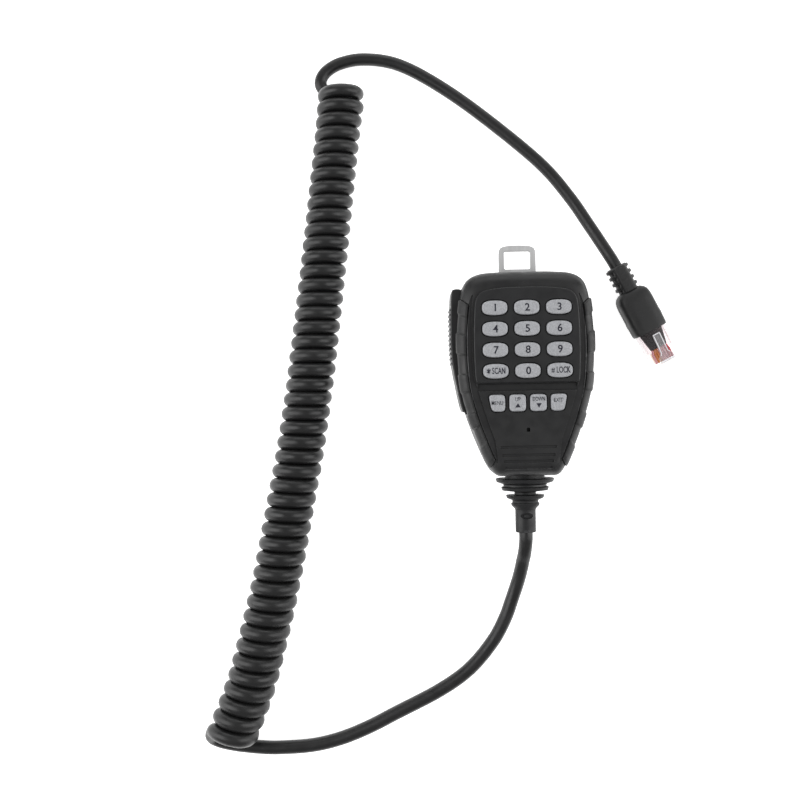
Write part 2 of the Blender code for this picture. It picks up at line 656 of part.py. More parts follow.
def plug_boot(frame, material):
    """The moulded hood and its ribbed boot, with a pocket for the back of the clear plug."""
    section = superellipse(14.1, 11.0, 5, 5, 20)
    hood = along_plug(stack("plug_boot", section, [
        (10.4, 0.60, 0.66), (11.6, 0.86, 0.90), (13.4, 0.97, 0.99), (16.0, 1.0, 1.0),
        (HOOD_END - 0.8, 0.98, 1.0), (HOOD_END, 0.95, 0.95)], material, frame))
    profile = [(0.0, 12.4), (3.9, 12.4)]
    for rib in range(4):
        top = 9.6 - 2.6 * rib
        profile += [(3.9, top), (4.75, top - 0.3), (4.75, top - 1.5), (3.9, top - 1.8)]
    profile += [(3.9, 0.0), (0.0, 0.0)]
    ribs = along_plug(turned("ribs", profile, None, frame, steps=14))
    boolean(hood, gather("boot_ribs", [ribs]), 'UNION')
    half = (PLUG_WIDTH / 2 + GAP, PLUG_HEIGHT / 2 + GAP)
    pocket = box("pocket", (-half[0], PLUG_START - GAP, -half[1]), (half[0], 30.0, half[1]),
                 None, frame)
    boolean(hood, gather("boot_pocket", [pocket]))


def plug_body(frame, clear):
    half_x = PLUG_WIDTH / 2
    half_z = PLUG_HEIGHT / 2
    body = box("plug_body", (-half_x, PLUG_START, -half_z), (half_x, PLUG_NOSE, half_z), clear,
               frame)
    cavity = box("cavity", (-5.2, PLUG_START - 1, -1.4), (5.2, 37.2, 1.9), None, frame)
    slots = box("slots", (-4.4, 37.5, -half_z - 1), (4.4, 42.3, -1.2), None, frame)
    boolean(body, gather("plug_hollows", [cavity, slots]))


def plug_latch(frame, clear):
    """The springy tab: its side view is extruded across and turned upright."""
    hinge_y, hinge_z = LATCH_HINGE
    side = [(42.6, 3.6), (42.6, 4.3), (41.4, 4.6), (29.6, 6.5), (29.3, 5.9), (40.6, 3.65)]
    half = 1.6
    latch = stack("plug_latch", [(y - hinge_y, z - hinge_z) for y, z in side],
                  [(-half, 1.0, 1.0), (half, 1.0, 1.0)], clear, frame)
    latch.matrix_local = Matrix.Translation(Vector((0.0, hinge_y, hinge_z)) * MM) @ Matrix((
        (0, 0, 1, 0), (1, 0, 0, 0), (0, 1, 0, 0), (0, 0, 0, 1)))


def plug_inside(frame, gold, jacket, wire):
    for index in range(CONTACT_COUNT):
        x = (index - (CONTACT_COUNT - 1) / 2) * CONTACT_PITCH
        box("plug_contact_" + str(index + 1), (x - 0.175, 37.8, -3.2), (x + 0.175, 42.0, -1.5),
            gold, frame)
    end = along_plug(stack("plug_jacket_end", superellipse(9.8, 2.6, 6, 4, 12), [
        (PLUG_START + GAP, 1.0, 1.0), (29.0, 1.0, 1.0), (35.6, 0.72, 0.8)], jacket, frame))
    end.location = (0.0, 0.0, 0.25 * MM)
    box("plug_conductors", (-3.9, 35.9, -0.4), (3.9, 36.9, 0.7), wire, frame)


clear_scene()
PARTS = new_collection("hand_microphone")
CUTTERS = new_collection("cutters")
BLACK = make_material("case_black", (0.035, 0.036, 0.038), 0.45)
PANEL = make_material("panel_black", (0.030, 0.031, 0.034), 0.5)
RUBBER = make_material("rubber_black", (0.025, 0.025, 0.026), 0.6)
KEY_GREY = make_material("key_grey", (0.47, 0.48, 0.50), 0.4)
STEEL = make_material("hanger_steel", (0.55, 0.55, 0.55), 0.35, 1.0)
SCREW_STEEL = make_material("screw_steel", (0.30, 0.30, 0.31), 0.3, 1.0)
CORD_BLACK = make_material("cord_black", (0.022, 0.022, 0.023), 0.4)
CLEAR = make_material("plug_clear", (0.86, 0.87, 0.90), 0.1, 0.0, 0.35)
GOLD = make_material("contact_gold", (0.83, 0.62, 0.25), 0.25, 1.0)
WIRE = make_material("wire_red", (0.55, 0.12, 0.08), 0.5)
SILICONE = make_material("silicone_grey", (0.55, 0.55, 0.56), 0.6)
BOARD = make_material("board_green", (0.03, 0.16, 0.07), 0.4)
CHIP = make_material("chip_black", (0.02, 0.02, 0.02), 0.5)
CAN = make_material("capsule_metal", (0.62, 0.62, 0.63), 0.3, 1.0)

WELLS = gather("key_wells", keys_and_wells(KEY_GREY))
NOTCHES = shell_notches()
front_shell(BLACK, WELLS, NOTCHES, side_grips(RUBBER))
rear_shell(BLACK, NOTCHES)
keypad_bezel(PANEL, WELLS)
for number, spot in enumerate(SCREW_PLACES):
    screw("case_screw_" + str(number + 1), spot, HEAD_RADIUS, SHANK_RADIUS,
          (HEAD_BOTTOM, HEAD_TOP, SHANK_TOP), SCREW_STEEL)
hanger(STEEL, SCREW_STEEL)
lever_and_switch(BLACK, SCREW_STEEL, CHIP)
insides(BOARD, CHIP, SILICONE, CAN, WIRE)
grommet(RUBBER)
cord(CORD_BLACK)
PLUG = plug_frame()
plug_boot(PLUG, RUBBER)
plug_body(PLUG, CLEAR)
plug_latch(PLUG, CLEAR)
plug_inside(PLUG, GOLD, CORD_BLACK, WIRE)
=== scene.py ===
"""Looks of a hand microphone for a mobile radio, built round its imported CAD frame.

The microphone lies on its back on z = 0 with its keys up, and +Y runs towards the hanger plate.
Lengths in the tables and shape helpers are millimetres; MM turns them into Blender's metres.
"""

import math
from bisect import bisect_right
from functools import partial

import bmesh
import bpy
from mathutils import Matrix, Vector, noise


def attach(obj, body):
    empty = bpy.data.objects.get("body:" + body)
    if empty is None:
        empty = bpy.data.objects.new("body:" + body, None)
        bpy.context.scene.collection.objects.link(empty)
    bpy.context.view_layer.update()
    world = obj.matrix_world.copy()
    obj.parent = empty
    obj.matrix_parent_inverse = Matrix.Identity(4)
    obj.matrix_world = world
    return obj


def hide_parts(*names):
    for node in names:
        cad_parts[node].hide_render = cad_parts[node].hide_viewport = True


MM = 0.001


def shift(x, y, z=0.0):
    return Matrix.Translation((x, y, z))


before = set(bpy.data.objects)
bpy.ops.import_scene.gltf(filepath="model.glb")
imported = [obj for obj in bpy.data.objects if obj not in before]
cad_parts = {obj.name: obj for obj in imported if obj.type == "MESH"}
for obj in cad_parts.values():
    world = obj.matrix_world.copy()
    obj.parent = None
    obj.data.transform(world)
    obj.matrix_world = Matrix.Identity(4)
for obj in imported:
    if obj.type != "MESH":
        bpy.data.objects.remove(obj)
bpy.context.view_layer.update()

# ---- case, as in the CAD ----
HALF_WIDTH = 26.8
HALF_LENGTH = 40.0
FRONT_Z = 27.0
PARTING_Z = 13.0
WALL = 2.2
FRONT_RADIUS = 5.5
REAR_RADIUS = 5.0
GAP = 0.3
CASE_SIDE = [
    (0.0, 39.7), (5.0, 39.7), (10.0, 39.6), (17.8, 38.9), (22.5, 36.4), (24.6, 32.0),
    (25.6, 26.0), (26.4, 18.0), (26.6, 10.0), (26.1, 0.0), (25.0, -8.0), (22.8, -16.0),
    (20.4, -23.0), (17.6, -30.0), (15.1, -35.6), (13.0, -38.9), (11.0, -40.0), (8.5, -40.0),
    (5.0, -40.0), (0.0, -40.0)]
GROOVES = [(-28.6, 10.9, 0.6), (-31.7, 10.3, 0.6), (-34.1, 9.7, 0.7), (-36.5, 9.2, 1.1)]
SHOULDER_STEPS = 10
CASE_POINTS = 240

# ---- keypad ----
BEZEL_SIDE = [
    (0.0, 33.1), (9.0, 32.9), (15.5, 32.0), (18.3, 30.4), (19.8, 27.0), (20.4, 18.0), (20.5, 8.0),
    (20.2, -1.0), (19.9, -3.0), (19.2, -3.75), (16.0, -3.8), (10.0, -3.8), (0.0, -3.8)]
BEZEL_TOP = 28.5
BEZEL_EDGE = 0.55
NUMBER_SIZE = (9.7, 5.6)
NUMBER_PITCH = (12.3, 8.1)
NUMBER_TOP = 29.5
FIRST_ROW_Y = 25.1
FUNCTION_SIZE = (6.4, 6.5)
FUNCTION_PITCH = 8.0
FUNCTION_Y = -11.5
FUNCTION_TOP = 28.0
FUNCTION_SLANT = 1.3
FLANGE_TOP = FRONT_Z - WALL - 0.5
FLANGE_BOTTOM = FLANGE_TOP - 0.7
WELL_CLEARANCE = 0.35
KEY_POINTS = 56
KEY_RIM = 0.55  # height of the rounded rim, and its reach inwards
KEY_INSET = 0.5
DOME = 0.20  # how far a key's top falls from its middle to its side
NUMBER_KEYS = [["1", "2", "3"], ["4", "5", "6"], ["7", "8", "9"], ["star", "0", "hash"]]
FUNCTION_KEYS = {"menu": -1, "up": 0, "down": 0, "exit": 1}  # and the side that leans in

# ---- push-to-talk lever ----
PTT_PIVOT = (-21.0, -12.0)
PTT_BOTTOM = 6.4
PTT_TOP = 19.6
PTT_EDGE = 0.6
RIB_SPAN = (3.5, 26.5)
RIB_COUNT = 12
RIB_HEIGHT = 0.4
PTT_OUTLINE = [
    (-24.4, 33.3), (-26.9, 33.6), (-28.2, 32.5), (-28.7, 26.5), (-28.9, 20.0), (-28.9, 12.0),
    (-28.6, 5.5), (-27.8, 0.0), (-26.9, -5.0), (-25.9, -10.0), (-24.8, -14.2), (-23.6, -15.0),
    (-21.6, -14.3), (-19.6, -13.2), (-19.0, -11.6), (-19.8, -10.0), (-22.8, -8.8), (-23.6, -5.0),
    (-23.6, 8.8), (-22.8, 9.2), (-22.8, 10.8), (-23.6, 11.2), (-23.6, 31.4)]

# ---- hanger plate and screws ----
HANGER_X = -0.7
HANGER_BOTTOM = 6.0
HANGER_THICK = 1.2
HANGER_SIDE = [(3.5, 52.2), (5.5, 51.9), (6.9, 51.2), (7.4, 50.1), (7.55, 48.3), (7.55, 28.6),
               (6.95, 28.0)]
HANGER_WINDOW = (10.5, 7.2, 46.2)  # width, height, middle y
HANGER_SCREW_Y = 32.0
SCREW_PLACES = [(14.8, 32.2), (-14.8, 32.2), (10.3, -30.5), (-10.3, -30.5)]
SCREW_PROFILE = [  # (radius, height), as in SCREW_HOLE
    (0.0, 19.0), (0.9, 19.0), (1.0, 18.6), (1.0, 4.1), (2.2, 4.1), (2.2, 3.2), (2.0, 2.7),
    (1.5, 2.45), (0.0, 2.4)]
SCREW_HOLE = [(0.0, 8.0), (1.3, 8.0), (1.3, 4.4), (2.5, 4.4), (2.5, 0.3), (2.9, -0.1), (2.9, -1.0),
              (0.0, -1.0)]

# ---- strain relief ----
GROMMET_Z = 13.0
GROMMET_FLATTEN = 0.75
GROMMET_NECK = 7.9
GROMMET_PROFILE = [  # (radius, place along the axis), inner end first
    (0.0, 3.9), (9.6, 3.9), (9.6, 2.5), (GROMMET_NECK, 2.5), (GROMMET_NECK, -1.65), (11.5, -1.65),
    (11.7, -1.85), (11.3, -3.0), (8.8, -3.9), (8.6, -4.1), (8.6, -4.8), (9.3, -5.0), (9.5, -5.2),
    (9.1, -6.4), (4.5, -7.0), (4.3, -7.2), (4.3, -8.1), (7.5, -8.25), (7.7, -8.4), (7.3, -9.5),
    (5.3, -10.35), (5.2, -10.5), (5.2, -11.3), (5.6, -11.45), (5.7, -11.6), (5.5, -12.5),
    (4.4, -13.6), (4.1, -14.3), (4.1, -22.8), (3.9, -23.2), (0.0, -23.2)]
OUT_OF_CASE = (shift(0.0, -HALF_LENGTH, GROMMET_Z)  # turns +Z to the cord's way
               @ Matrix.Rotation(math.radians(-90), 4, 'X'))
RING_Y = -56.5  # middle of the oval ring in the sleeve's top

# ---- cord ----
CORD_DIAMETER = 5.3
CORD_REST = CORD_DIAMETER / 2 + 0.05
LEAD_FULLNESS = (1.04, 0.94)  # the strand's share of its diameter at each end
EASE_PASSES = 12  # of smoothing where the leads meet the coil
EASE_REACH = 9
COIL_TURNS = 46
COIL_POINTS = 36  # to a turn
COIL_STEPS = 4000  # for adding up how the pitch drifts
COIL_RADIUS = (6.3, 7.15)  # of the cord's middle, at the plug end and the other
COIL_PITCH = (5.4, 6.25)
COIL_FLARE = (0.7, 0.10)  # the plug end's extra radius, over this share of the coil
COIL_TAIL = (0.5, 0.03)  # and the microphone end's
COIL_LIFT = 0.45  # the swollen turns still rest on the table
COIL_AXIS = [
    (-70.1, 116.1), (-74.4, 82.0), (-77.8, 54.5), (-81.0, 30.0), (-85.2, -0.8), (-89.6, -28.0),
    (-93.8, -49.0), (-98.0, -70.0), (-102.3, -89.5), (-108.6, -113.5), (-112.5, -126.0),
    (-120.1, -144.8)]
MIC_LEAD = [  # a point without a height lies on the table
    (0.0, -63.6, 13.0), (0.0, -66.5, 12.8), (-0.3, -71.5, 10.6), (-0.8, -75.5, 8.0),
    (-2.2, -83.0, 4.9), (-4.9, -91.7, 3.1), (-8.0, -100.0), (-13.2, -109.2), (-22.7, -120.1),
    (-35.1, -128.7), (-53.2, -137.7), (-64.8, -143.4), (-76.4, -147.8), (-88.0, -150.3),
    (-101.2, -151.0), (-108.6, -150.7), (-115.5, -149.9), (-120.5, -149.1), (-125.2, -147.6, 3.4),
    (-128.2, -144.9, 5.6)]
PLUG_LEAD = [
    (-75.9, 117.0), (-78.9, 119.3), (-79.0, 122.6), (-76.3, 126.1), (-70.7, 129.0), (-61.4, 130.4),
    (-48.7, 128.4), (-34.5, 121.3), (-15.9, 108.3), (8.8, 87.6), (21.2, 73.2), (30.0, 59.7, 3.4),
    (35.5, 50.4, 4.9)]

# ---- plug, in its own frame: +Y to its nose, +Z to its latch ----
PLUG_PLACE = Vector((39.9, 42.4, 5.75))
PLUG_TURN = math.radians(-153.1)
PLUG_FRAME = Matrix.Translation(PLUG_PLACE) @ Matrix.Rotation(PLUG_TURN, 4, 'Z')
PLUG_HALF_WIDTH = 5.84
PLUG_HALF_HEIGHT = 3.3
PLUG_START = 20.5
PLUG_NOSE = 43.0
HOOD_RINGS = [  # (y, width and height as shares)
    (10.2, 0.50, 0.58), (10.6, 0.66, 0.72), (11.4, 0.82, 0.86), (12.6, 0.93, 0.95),
    (14.2, 0.985, 0.99), (16.0, 1.0, 1.0), (22.4, 1.0, 1.0), (22.6, 1.015, 1.0),
    (24.2, 1.015, 1.0), (24.6, 1.0, 1.0), (28.0, 0.985, 1.0), (28.6, 0.965, 0.98),
    (28.9, 0.94, 0.95)]
JACKET_RINGS = [  # (y, width, height)
    (PLUG_START + GAP, 9.8, 2.6), (26.0, 9.9, 2.7), (28.6, 9.9, 2.7), (31.0, 9.2, 2.5),
    (34.0, 8.1, 2.2), (36.2, 7.2, 2.0), (36.4, 6.9, 1.8)]
CAVITY_LIFT = shift(0.0, 0.0, 0.25)
CONTACT_PLACES = [(index - 3.5) * 1.02 for index in range(8)]
CONTACT_NAMES = ["plug_contact_" + str(number) for number in range(1, 9)]


# ======== lines and outlines ========
def smooth(points, cuts, closed=False):
    """Points on a smooth curve through the given ones, `cuts` to each stretch."""
    route = [Vector(point) for point in points]
    if closed:
        route = route[-1:] + route + route[:2]
    else:
        route = [2 * route[0] - route[1]] + route + [2 * route[-1] - route[-2]]
    result = []
    for before, start, end, after in zip(route, route[1:], route[2:], route[3:]):
        for cut in range(cuts):
            t = cut / cuts
            result.append(0.5 * (2 * start + (end - before) * t
                                 + (2 * before - 5 * start + 4 * end - after) * t * t
                                 + (3 * start - before - 3 * end + after) * t ** 3))
    return result if closed else result + [route[-2]]


def lengths_along(line):
    """How far along the line each of its points is."""
    reach = [0.0]
    for start, end in zip(line, line[1:]):
        reach.append(reach[-1] + (end - start).length)
    return reach


def stretch_at(reach, want):
    """Which of the rising values `want` comes after, and how far it is on to the next one."""
    index = min(max(bisect_right(reach, want) - 1, 0), len(reach) - 2)
    return index, min((want - reach[index]) / max(reach[index + 1] - reach[index], 1e-9), 1.0)


def even(points, count):
    """The same closed outline as `count` evenly spaced points."""
    line = points + points[:1]
    reach = lengths_along(line)
    result = []
    for step in range(count):
        index, share = stretch_at(reach, reach[-1] * step / count)
        result.append(line[index].lerp(line[index + 1], share))
    return result


def mirrored(side):
    """A closed outline from its right half, which runs from the top middle to the bottom."""
    left = [(-x, y) for x, y in reversed(side) if x > 0]
    return list(side) + left


def superellipse(width, height, power_x, power_y, count):
    """A rounded outline: higher powers square it off."""
    outline = []
    for index in range(count):
        angle = 2 * math.pi * (index + 0.5) / count
        c = math.cos(angle)
        s = math.sin(angle)
        outline.append(Vector((math.copysign(abs(c) ** (2 / power_x), c) * width / 2,
                               math.copysign(abs(s) ** (2 / power_y), s) * height / 2)))
    return outline


def rounded_box(width, height, radius, middle=(0.0, 0.0)):
    """A rectangle with round corners."""
    steps = 5
    outline = []
    for corner, (side_x, side_y) in enumerate(((1, 1), (-1, 1), (-1, -1), (1, -1))):
        for step in range(steps + 1):
            angle = math.pi / 2 * (corner + step / steps)
            outline.append(Vector((
                middle[0] + side_x * (width / 2 - radius) + radius * math.cos(angle),
                middle[1] + side_y * (height / 2 - radius) + radius * math.sin(angle))))
    return outline


def grown(outline, distance):
    """The closed outline moved outwards, or inwards where the distance is negative."""
    count = len(outline)
    area = sum(a.x * b.y - b.x * a.y for a, b in zip(outline, outline[1:] + outline[:1]))
    way = 1.0 if area > 0 else -1.0
    result = []
    for i in range(count):
        along = (outline[(i + 1) % count] - outline[i - 1]).normalized()
        result.append(outline[i] + Vector((along.y, -along.x)) * way * distance)
    return result


def level(outline, z, scale=(1.0, 1.0)):
    """The outline at a height, scaled about the origin."""
    return [Vector((point[0] * scale[0], point[1] * scale[1], z)) for point in outline]


def moved(outline, place):
    return [Vector((point[0] + place[0], point[1] + place[1])) for point in outline]


# ======== meshes ========
def loft(rings):
    """A skin through rings that have the same number of points."""
    bm = bmesh.new()
    rows = [[bm.verts.new(point) for point in ring] for ring in rings]
    for low, high in zip(rows, rows[1:]):
        for i in range(len(low)):
            j = (i + 1) % len(low)
            bm.faces.new((low[i], low[j], high[j], high[i]))
    bm.faces.new(rows[0][::-1])
    bm.faces.new(rows[-1])
    bmesh.ops.recalc_face_normals(bm, faces=bm.faces)
    return bm


def turned(profile, steps, squash=1.0):
    """Turns a (radius, height) profile about Z, flattened in one direction."""
    bm = bmesh.new()
    rows = []
    for radius, height in profile:
        if radius == 0:
            rows.append([bm.verts.new((0.0, 0.0, height))] * steps)
            continue
        rows.append([bm.verts.new((radius * math.cos(2 * math.pi * i / steps),
                                   radius * squash * math.sin(2 * math.pi * i / steps), height))
                     for i in range(steps)])
    for low, high in zip(rows, rows[1:]):
        for i in range(steps):
            j = (i + 1) % steps
            corners = []
            for vert in (low[i], low[j], high[j], high[i]):
                if vert not in corners:
                    corners.append(vert)
            bm.faces.new(corners)
    bmesh.ops.recalc_face_normals(bm, faces=bm.faces)
    return bm


def prism(outline, low, high, flare=0.0, flare_from=None):
    """An upright solid of the outline, which may widen from one height up to its top."""
    rings = [level(outline, low)]
    if flare:
        rings += [level(outline, flare_from), level(grown(outline, flare), flare_from + flare),
                  level(grown(outline, flare), high)]
    else:
        rings.append(level(outline, high))
    return loft(rings)


def rounded_over(loop, top, depth, inset, steps):
    """Rings that take the loop's upper edge round and in to its flat top."""
    rings = []
    for step in range(1, steps + 1):
        angle = math.pi / 2 * step / steps
        rings.append(level(grown(loop, -inset * (1 - math.cos(angle))),
                           top - depth * (1 - math.sin(angle))))
    return rings


def block(low, high):
    """A box from its lowest corner to its highest."""
    outline = [(low[0], low[1]), (high[0], low[1]), (high[0], high[1]), (low[0], high[1])]
    return loft([level(outline, low[2]), level(outline, high[2])])


def added(name, data):
    obj = bpy.data.objects.new(name, data)
    bpy.context.scene.collection.objects.link(obj)
    return obj


def solid(name, bm, matrix=None):
    """A new object of a mesh in millimetres, placed by the matrix, which is also in them."""
    placed = Matrix.Scale(MM, 4) @ (matrix or Matrix())
    bm.transform(placed)
    mesh = bpy.data.meshes.new(name)
    bm.to_mesh(mesh)
    bm.free()
    return added(name, mesh)


def merged(bms):
    """Several meshes that don't touch as one."""
    whole = bmesh.new()
    for bm in bms:
        mesh = bpy.data.meshes.new("part")
        bm.to_mesh(mesh)
        bm.free()
        whole.from_mesh(mesh)
        bpy.data.meshes.remove(mesh)
    return whole


def evaluated(obj):
    """A new mesh of the object with its modifiers applied."""
    bpy.context.view_layer.update()
    graph = bpy.context.evaluated_depsgraph_get()
    return bpy.data.meshes.new_from_object(obj.evaluated_get(graph), depsgraph=graph)


def carve(obj, bm, operation='DIFFERENCE', matrix=None):
    """Cuts the mesh out of the object, or joins it to it."""
    tool = solid("tool", bm, matrix)
    step = obj.modifiers.new("carve", 'BOOLEAN')
    step.operation = operation
    step.solver = 'EXACT'
    step.object = tool
    mesh = evaluated(obj)
    obj.modifiers.clear()
    obj.data = mesh
    bpy.data.objects.remove(tool, do_unlink=True)


def dress(obj, material, nodes=(), body="root", sharp=30.0):
    """Finishes a piece: its material, shading and body, and the CAD nodes it stands for."""
    obj.data.materials.clear()
    obj.data.materials.append(material)
    bm = bmesh.new()
    bm.from_mesh(obj.data)
    bmesh.ops.remove_doubles(bm, verts=bm.verts, dist=0.002 * MM)
    bm.to_mesh(obj.data)
    bm.free()
    obj.data.shade_smooth()
    obj.data.set_sharp_from_angle(angle=math.radians(sharp))
    obj.modifiers.new("weights", 'WEIGHTED_NORMAL').keep_sharp = True
    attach(obj, body)
    if nodes:
        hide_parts(*nodes)
    return obj


# ======== materials ========
class Surface:
    """A procedural material that is built up a layer at a time."""

    def __init__(self, name, roughness, metallic=0.0):
        self.material = bpy.data.materials.new(name)
        self.material.use_nodes = True
        self.tree = self.material.node_tree
        self.shader = self.tree.nodes["Principled BSDF"]
        self.set(self.shader, "Metallic", metallic)
        self.set(self.shader, "Specular IOR Level", 0.4)
        self.place = self.node('ShaderNodeTexCoord').outputs["Object"]
        self.roughness = roughness
        self.normal = None

    def set(self, node, key, value):
        """Gives a node's input, or else the node itself, a value or another node's output."""
        if isinstance(value, bpy.types.NodeSocket):
            self.tree.links.new(value, node.inputs[key])
        elif isinstance(key, int) or key in node.inputs:
            node.inputs[key].default_value = value
        else:
            setattr(node, key, value)

    def node(self, kind, **values):
        """A new node with these inputs and settings."""
        made = self.tree.nodes.new(kind)
        for key, value in values.items():
            self.set(made, key, value)
        return made

    def noise(self, scale, detail=2.0, stretch=None):
        place = self.place
        if stretch:
            place = self.node('ShaderNodeMapping', Vector=place, Scale=stretch).outputs["Vector"]
        return self.node('ShaderNodeTexNoise', Vector=place, Scale=scale,
                         Detail=detail).outputs["Fac"]

    def ramp(self, value, stops):
        """A colour ramp of (place, colour) stops."""
        made = self.node('ShaderNodeValToRGB', Fac=value)
        ends = made.color_ramp.elements
        ends[0].position, ends[0].color = stops[0][0], (*stops[0][1], 1.0)
        ends[1].position, ends[1].color = stops[-1][0], (*stops[-1][1], 1.0)
        for place, color in stops[1:-1]:
            ends.new(place).color = (*color, 1.0)
        return made.outputs["Color"]

    def between(self, value, low, high, start=0.35, end=0.65):
        """The value's range from start to end, mapped to low and high."""
        return self.node('ShaderNodeMapRange', **{
            "Value": value, "From Min": start, "From Max": end, "To Min": low,
            "To Max": high}).outputs["Result"]

    def mix(self, factor, first, second):
        made = self.node('ShaderNodeMix', data_type='RGBA')
        for key, value in ((0, factor), (6, first), (7, second)):
            self.set(made, key, (*value, 1.0) if isinstance(value, tuple) else value)
        return made.outputs[2]

    def mottle(self, color, spread, scale):
        """Colour that drifts a little lighter and darker."""
        dark = tuple(channel * (1 - spread) for channel in color)
        light = tuple(min(channel * (1 + spread), 1.0) for channel in color)
        return self.ramp(self.noise(scale, 4.0), [(0.35, dark), (0.65, light)])

    def worn(self, color, edge_color, amount):
        """Lighter where edges are rubbed, broken up by noise."""
        edges = self.node('ShaderNodeAmbientOcclusion', inside=True, samples=4,
                          Distance=0.6 * MM).outputs["AO"]
        product = self.node('ShaderNodeMath', operation='MULTIPLY')
        self.set(product, 0, self.between(edges, 1.0, 0.0, 0.35, 0.75))
        self.set(product, 1, self.between(self.noise(900.0, 3.0), 0.0, amount, 0.35, 0.6))
        return self.mix(product.outputs[0], color, edge_color)

    def bump(self, height, strength, depth):
        """Adds a layer of bumps to the ones before it."""
        under = {"Normal": self.normal} if self.normal else {}
        self.normal = self.node('ShaderNodeBump', Height=height, Strength=strength,
                                Distance=depth * MM, **under).outputs["Normal"]

    def done(self, color, spread=0.08):
        """Links the colour, the drifting roughness and the bumps to the shader."""
        self.set(self.shader, "Base Color", color)
        self.set(self.shader, "Roughness", self.between(
            self.noise(250.0, 3.0), self.roughness - spread, self.roughness + spread))
        if self.normal:
            self.set(self.shader, "Normal", self.normal)
        return self.material


def moulded(name, color, roughness, grain=2600.0, depth=0.03, wear=0.0):
    """Moulded plastic or rubber: fine spark texture, drifting tone and rubbed edges."""
    made = Surface(name, roughness)
    made.bump(made.noise(grain, 2.0), 0.35, depth)
    made.bump(made.noise(220.0, 3.0), 0.10, 0.06)
    tone = made.mottle(color, 0.12, 60.0)
    return made.done(made.worn(tone, (0.16, 0.16, 0.165), wear) if wear else tone)


def metal(name, color, roughness, stretch, metallic=1.0):
    """Metal with fine lines along one direction and faint smears."""
    made = Surface(name, roughness, metallic)
    made.bump(made.noise(900.0, 4.0, stretch), 0.25, 0.01)
    dark = tuple(channel * 0.86 for channel in color)
    lines = made.ramp(made.noise(700.0, 4.0, stretch), [(0.3, dark), (0.7, color)])
    return made.done(made.worn(lines, (0.9, 0.9, 0.9), 0.3))


def silver_plastic(name, color):
    """Pale grey paint with fine bright and dark flakes."""
    made = Surface(name, 0.42)
    cells = made.node('ShaderNodeTexVoronoi', Vector=made.place, Scale=3600.0)
    flakes = made.ramp(cells.outputs["Color"], [
        (0.15, tuple(channel * 0.82 for channel in color)), (0.5, color),
        (0.9, tuple(min(channel * 1.22, 1.0) for channel in color))])
    made.bump(made.noise(3000.0, 2.0), 0.25, 0.02)
    return made.done(made.worn(flakes, (0.72, 0.73, 0.75), 0.5))


def clear_plastic(name, tint, body):
    """Clear moulded plastic: most light goes through, and its edges shine."""
    made = Surface(name, 0.10)
    made.set(made.shader, "IOR", 1.58)
    made.bump(made.noise(200.0, 2.0), 0.08, 0.03)
    material = made.done(made.mottle((0.88, 0.83, 0.84), 0.04, 120.0), 0.03)
    through = made.node('ShaderNodeBsdfTransparent', Color=(*tint, 1.0))
    slope = made.node('ShaderNodeLayerWeight', Blend=0.35).outputs["Facing"]
    both = made.node('ShaderNodeMixShader')
    made.set(both, 0, made.between(slope, body, 0.85, 0.25, 1.0))
    made.set(both, 1, through.outputs["BSDF"])
    made.set(both, 2, made.shader.outputs["BSDF"])
    made.set(made.tree.nodes["Material Output"], "Surface", both.outputs["Shader"])
    return material


def board_green(name):
    """Solder mask with the copper tracks under it showing through."""
    made = Surface(name, 0.35)
    tracks = made.node('ShaderNodeTexBrick', **{"Vector": made.place, "Scale": 260.0,
                                                "Mortar Size": 0.03})
    made.bump(tracks.outputs["Fac"], 0.3, 0.05)
    tone = made.mottle((0.012, 0.10, 0.035), 0.2, 90.0)
    return made.done(made.mix(tracks.outputs["Fac"], tone, (0.03, 0.19, 0.07)))


CASE = moulded("case_black_moulded", (0.0085, 0.0085, 0.0090), 0.42, wear=0.25)
PANEL = moulded("panel_black_moulded", (0.0062, 0.0064, 0.0072), 0.46, depth=0.04, wear=0.25)
RUBBER = moulded("rubber_black_moulded", (0.0125, 0.0125, 0.0128), 0.48, grain=1800.0,
                 depth=0.05, wear=0.25)
CORD = moulded("cord_black_moulded", (0.0082, 0.0082, 0.0085), 0.37, grain=1200.0, depth=0.04)
KEY = silver_plastic("key_grey_painted", (0.32, 0.325, 0.34))
INK = moulded("legend_ink", (0.010, 0.010, 0.020), 0.5)
STEEL = metal("hanger_steel_brushed", (0.52, 0.52, 0.52), 0.5, (1.0, 0.06, 1.0), metallic=0.35)
SCREW = metal("screw_steel_turned", (0.32, 0.32, 0.33), 0.32, (1.0, 1.0, 0.1))
GOLD = metal("contact_gold_plated", (0.85, 0.62, 0.25), 0.25, (1.0, 0.1, 1.0))
CAN = metal("capsule_metal_drawn", (0.62, 0.62, 0.63), 0.3, (1.0, 1.0, 0.08))
CLEAR = clear_plastic("plug_clear_moulded", (0.975, 0.95, 0.955), 0.018)
LATCH = clear_plastic("plug_latch_moulded", (0.80, 0.83, 0.84), 0.14)
RIM = moulded("plug_rim_frosted", (0.62, 0.62, 0.64), 0.35)
# painted shade: near-black, rough material for the strip that darkens the step under the number
# keys
STEP_SHADE = moulded("step_painted_shade", (0.004, 0.004, 0.0045), 0.6)
SILICONE = moulded("silicone_grey_moulded", (0.50, 0.50, 0.51), 0.55)
CHIP = moulded("chip_black_moulded", (0.02, 0.02, 0.021), 0.5, grain=4000.0, wear=0.1)
BOARD = board_green("board_green_masked")
WIRES = [  # (piece, look, its conductors)
    ("wires_red", moulded("wire_red_skin", (0.50, 0.07, 0.09), 0.4), (0, 1)),
    ("wires_orange", moulded("wire_orange_skin", (0.52, 0.18, 0.05), 0.4), (5, 6)),
    ("wires_pink", moulded("wire_pink_skin", (0.62, 0.28, 0.30), 0.4), (2, 3, 4, 7))]

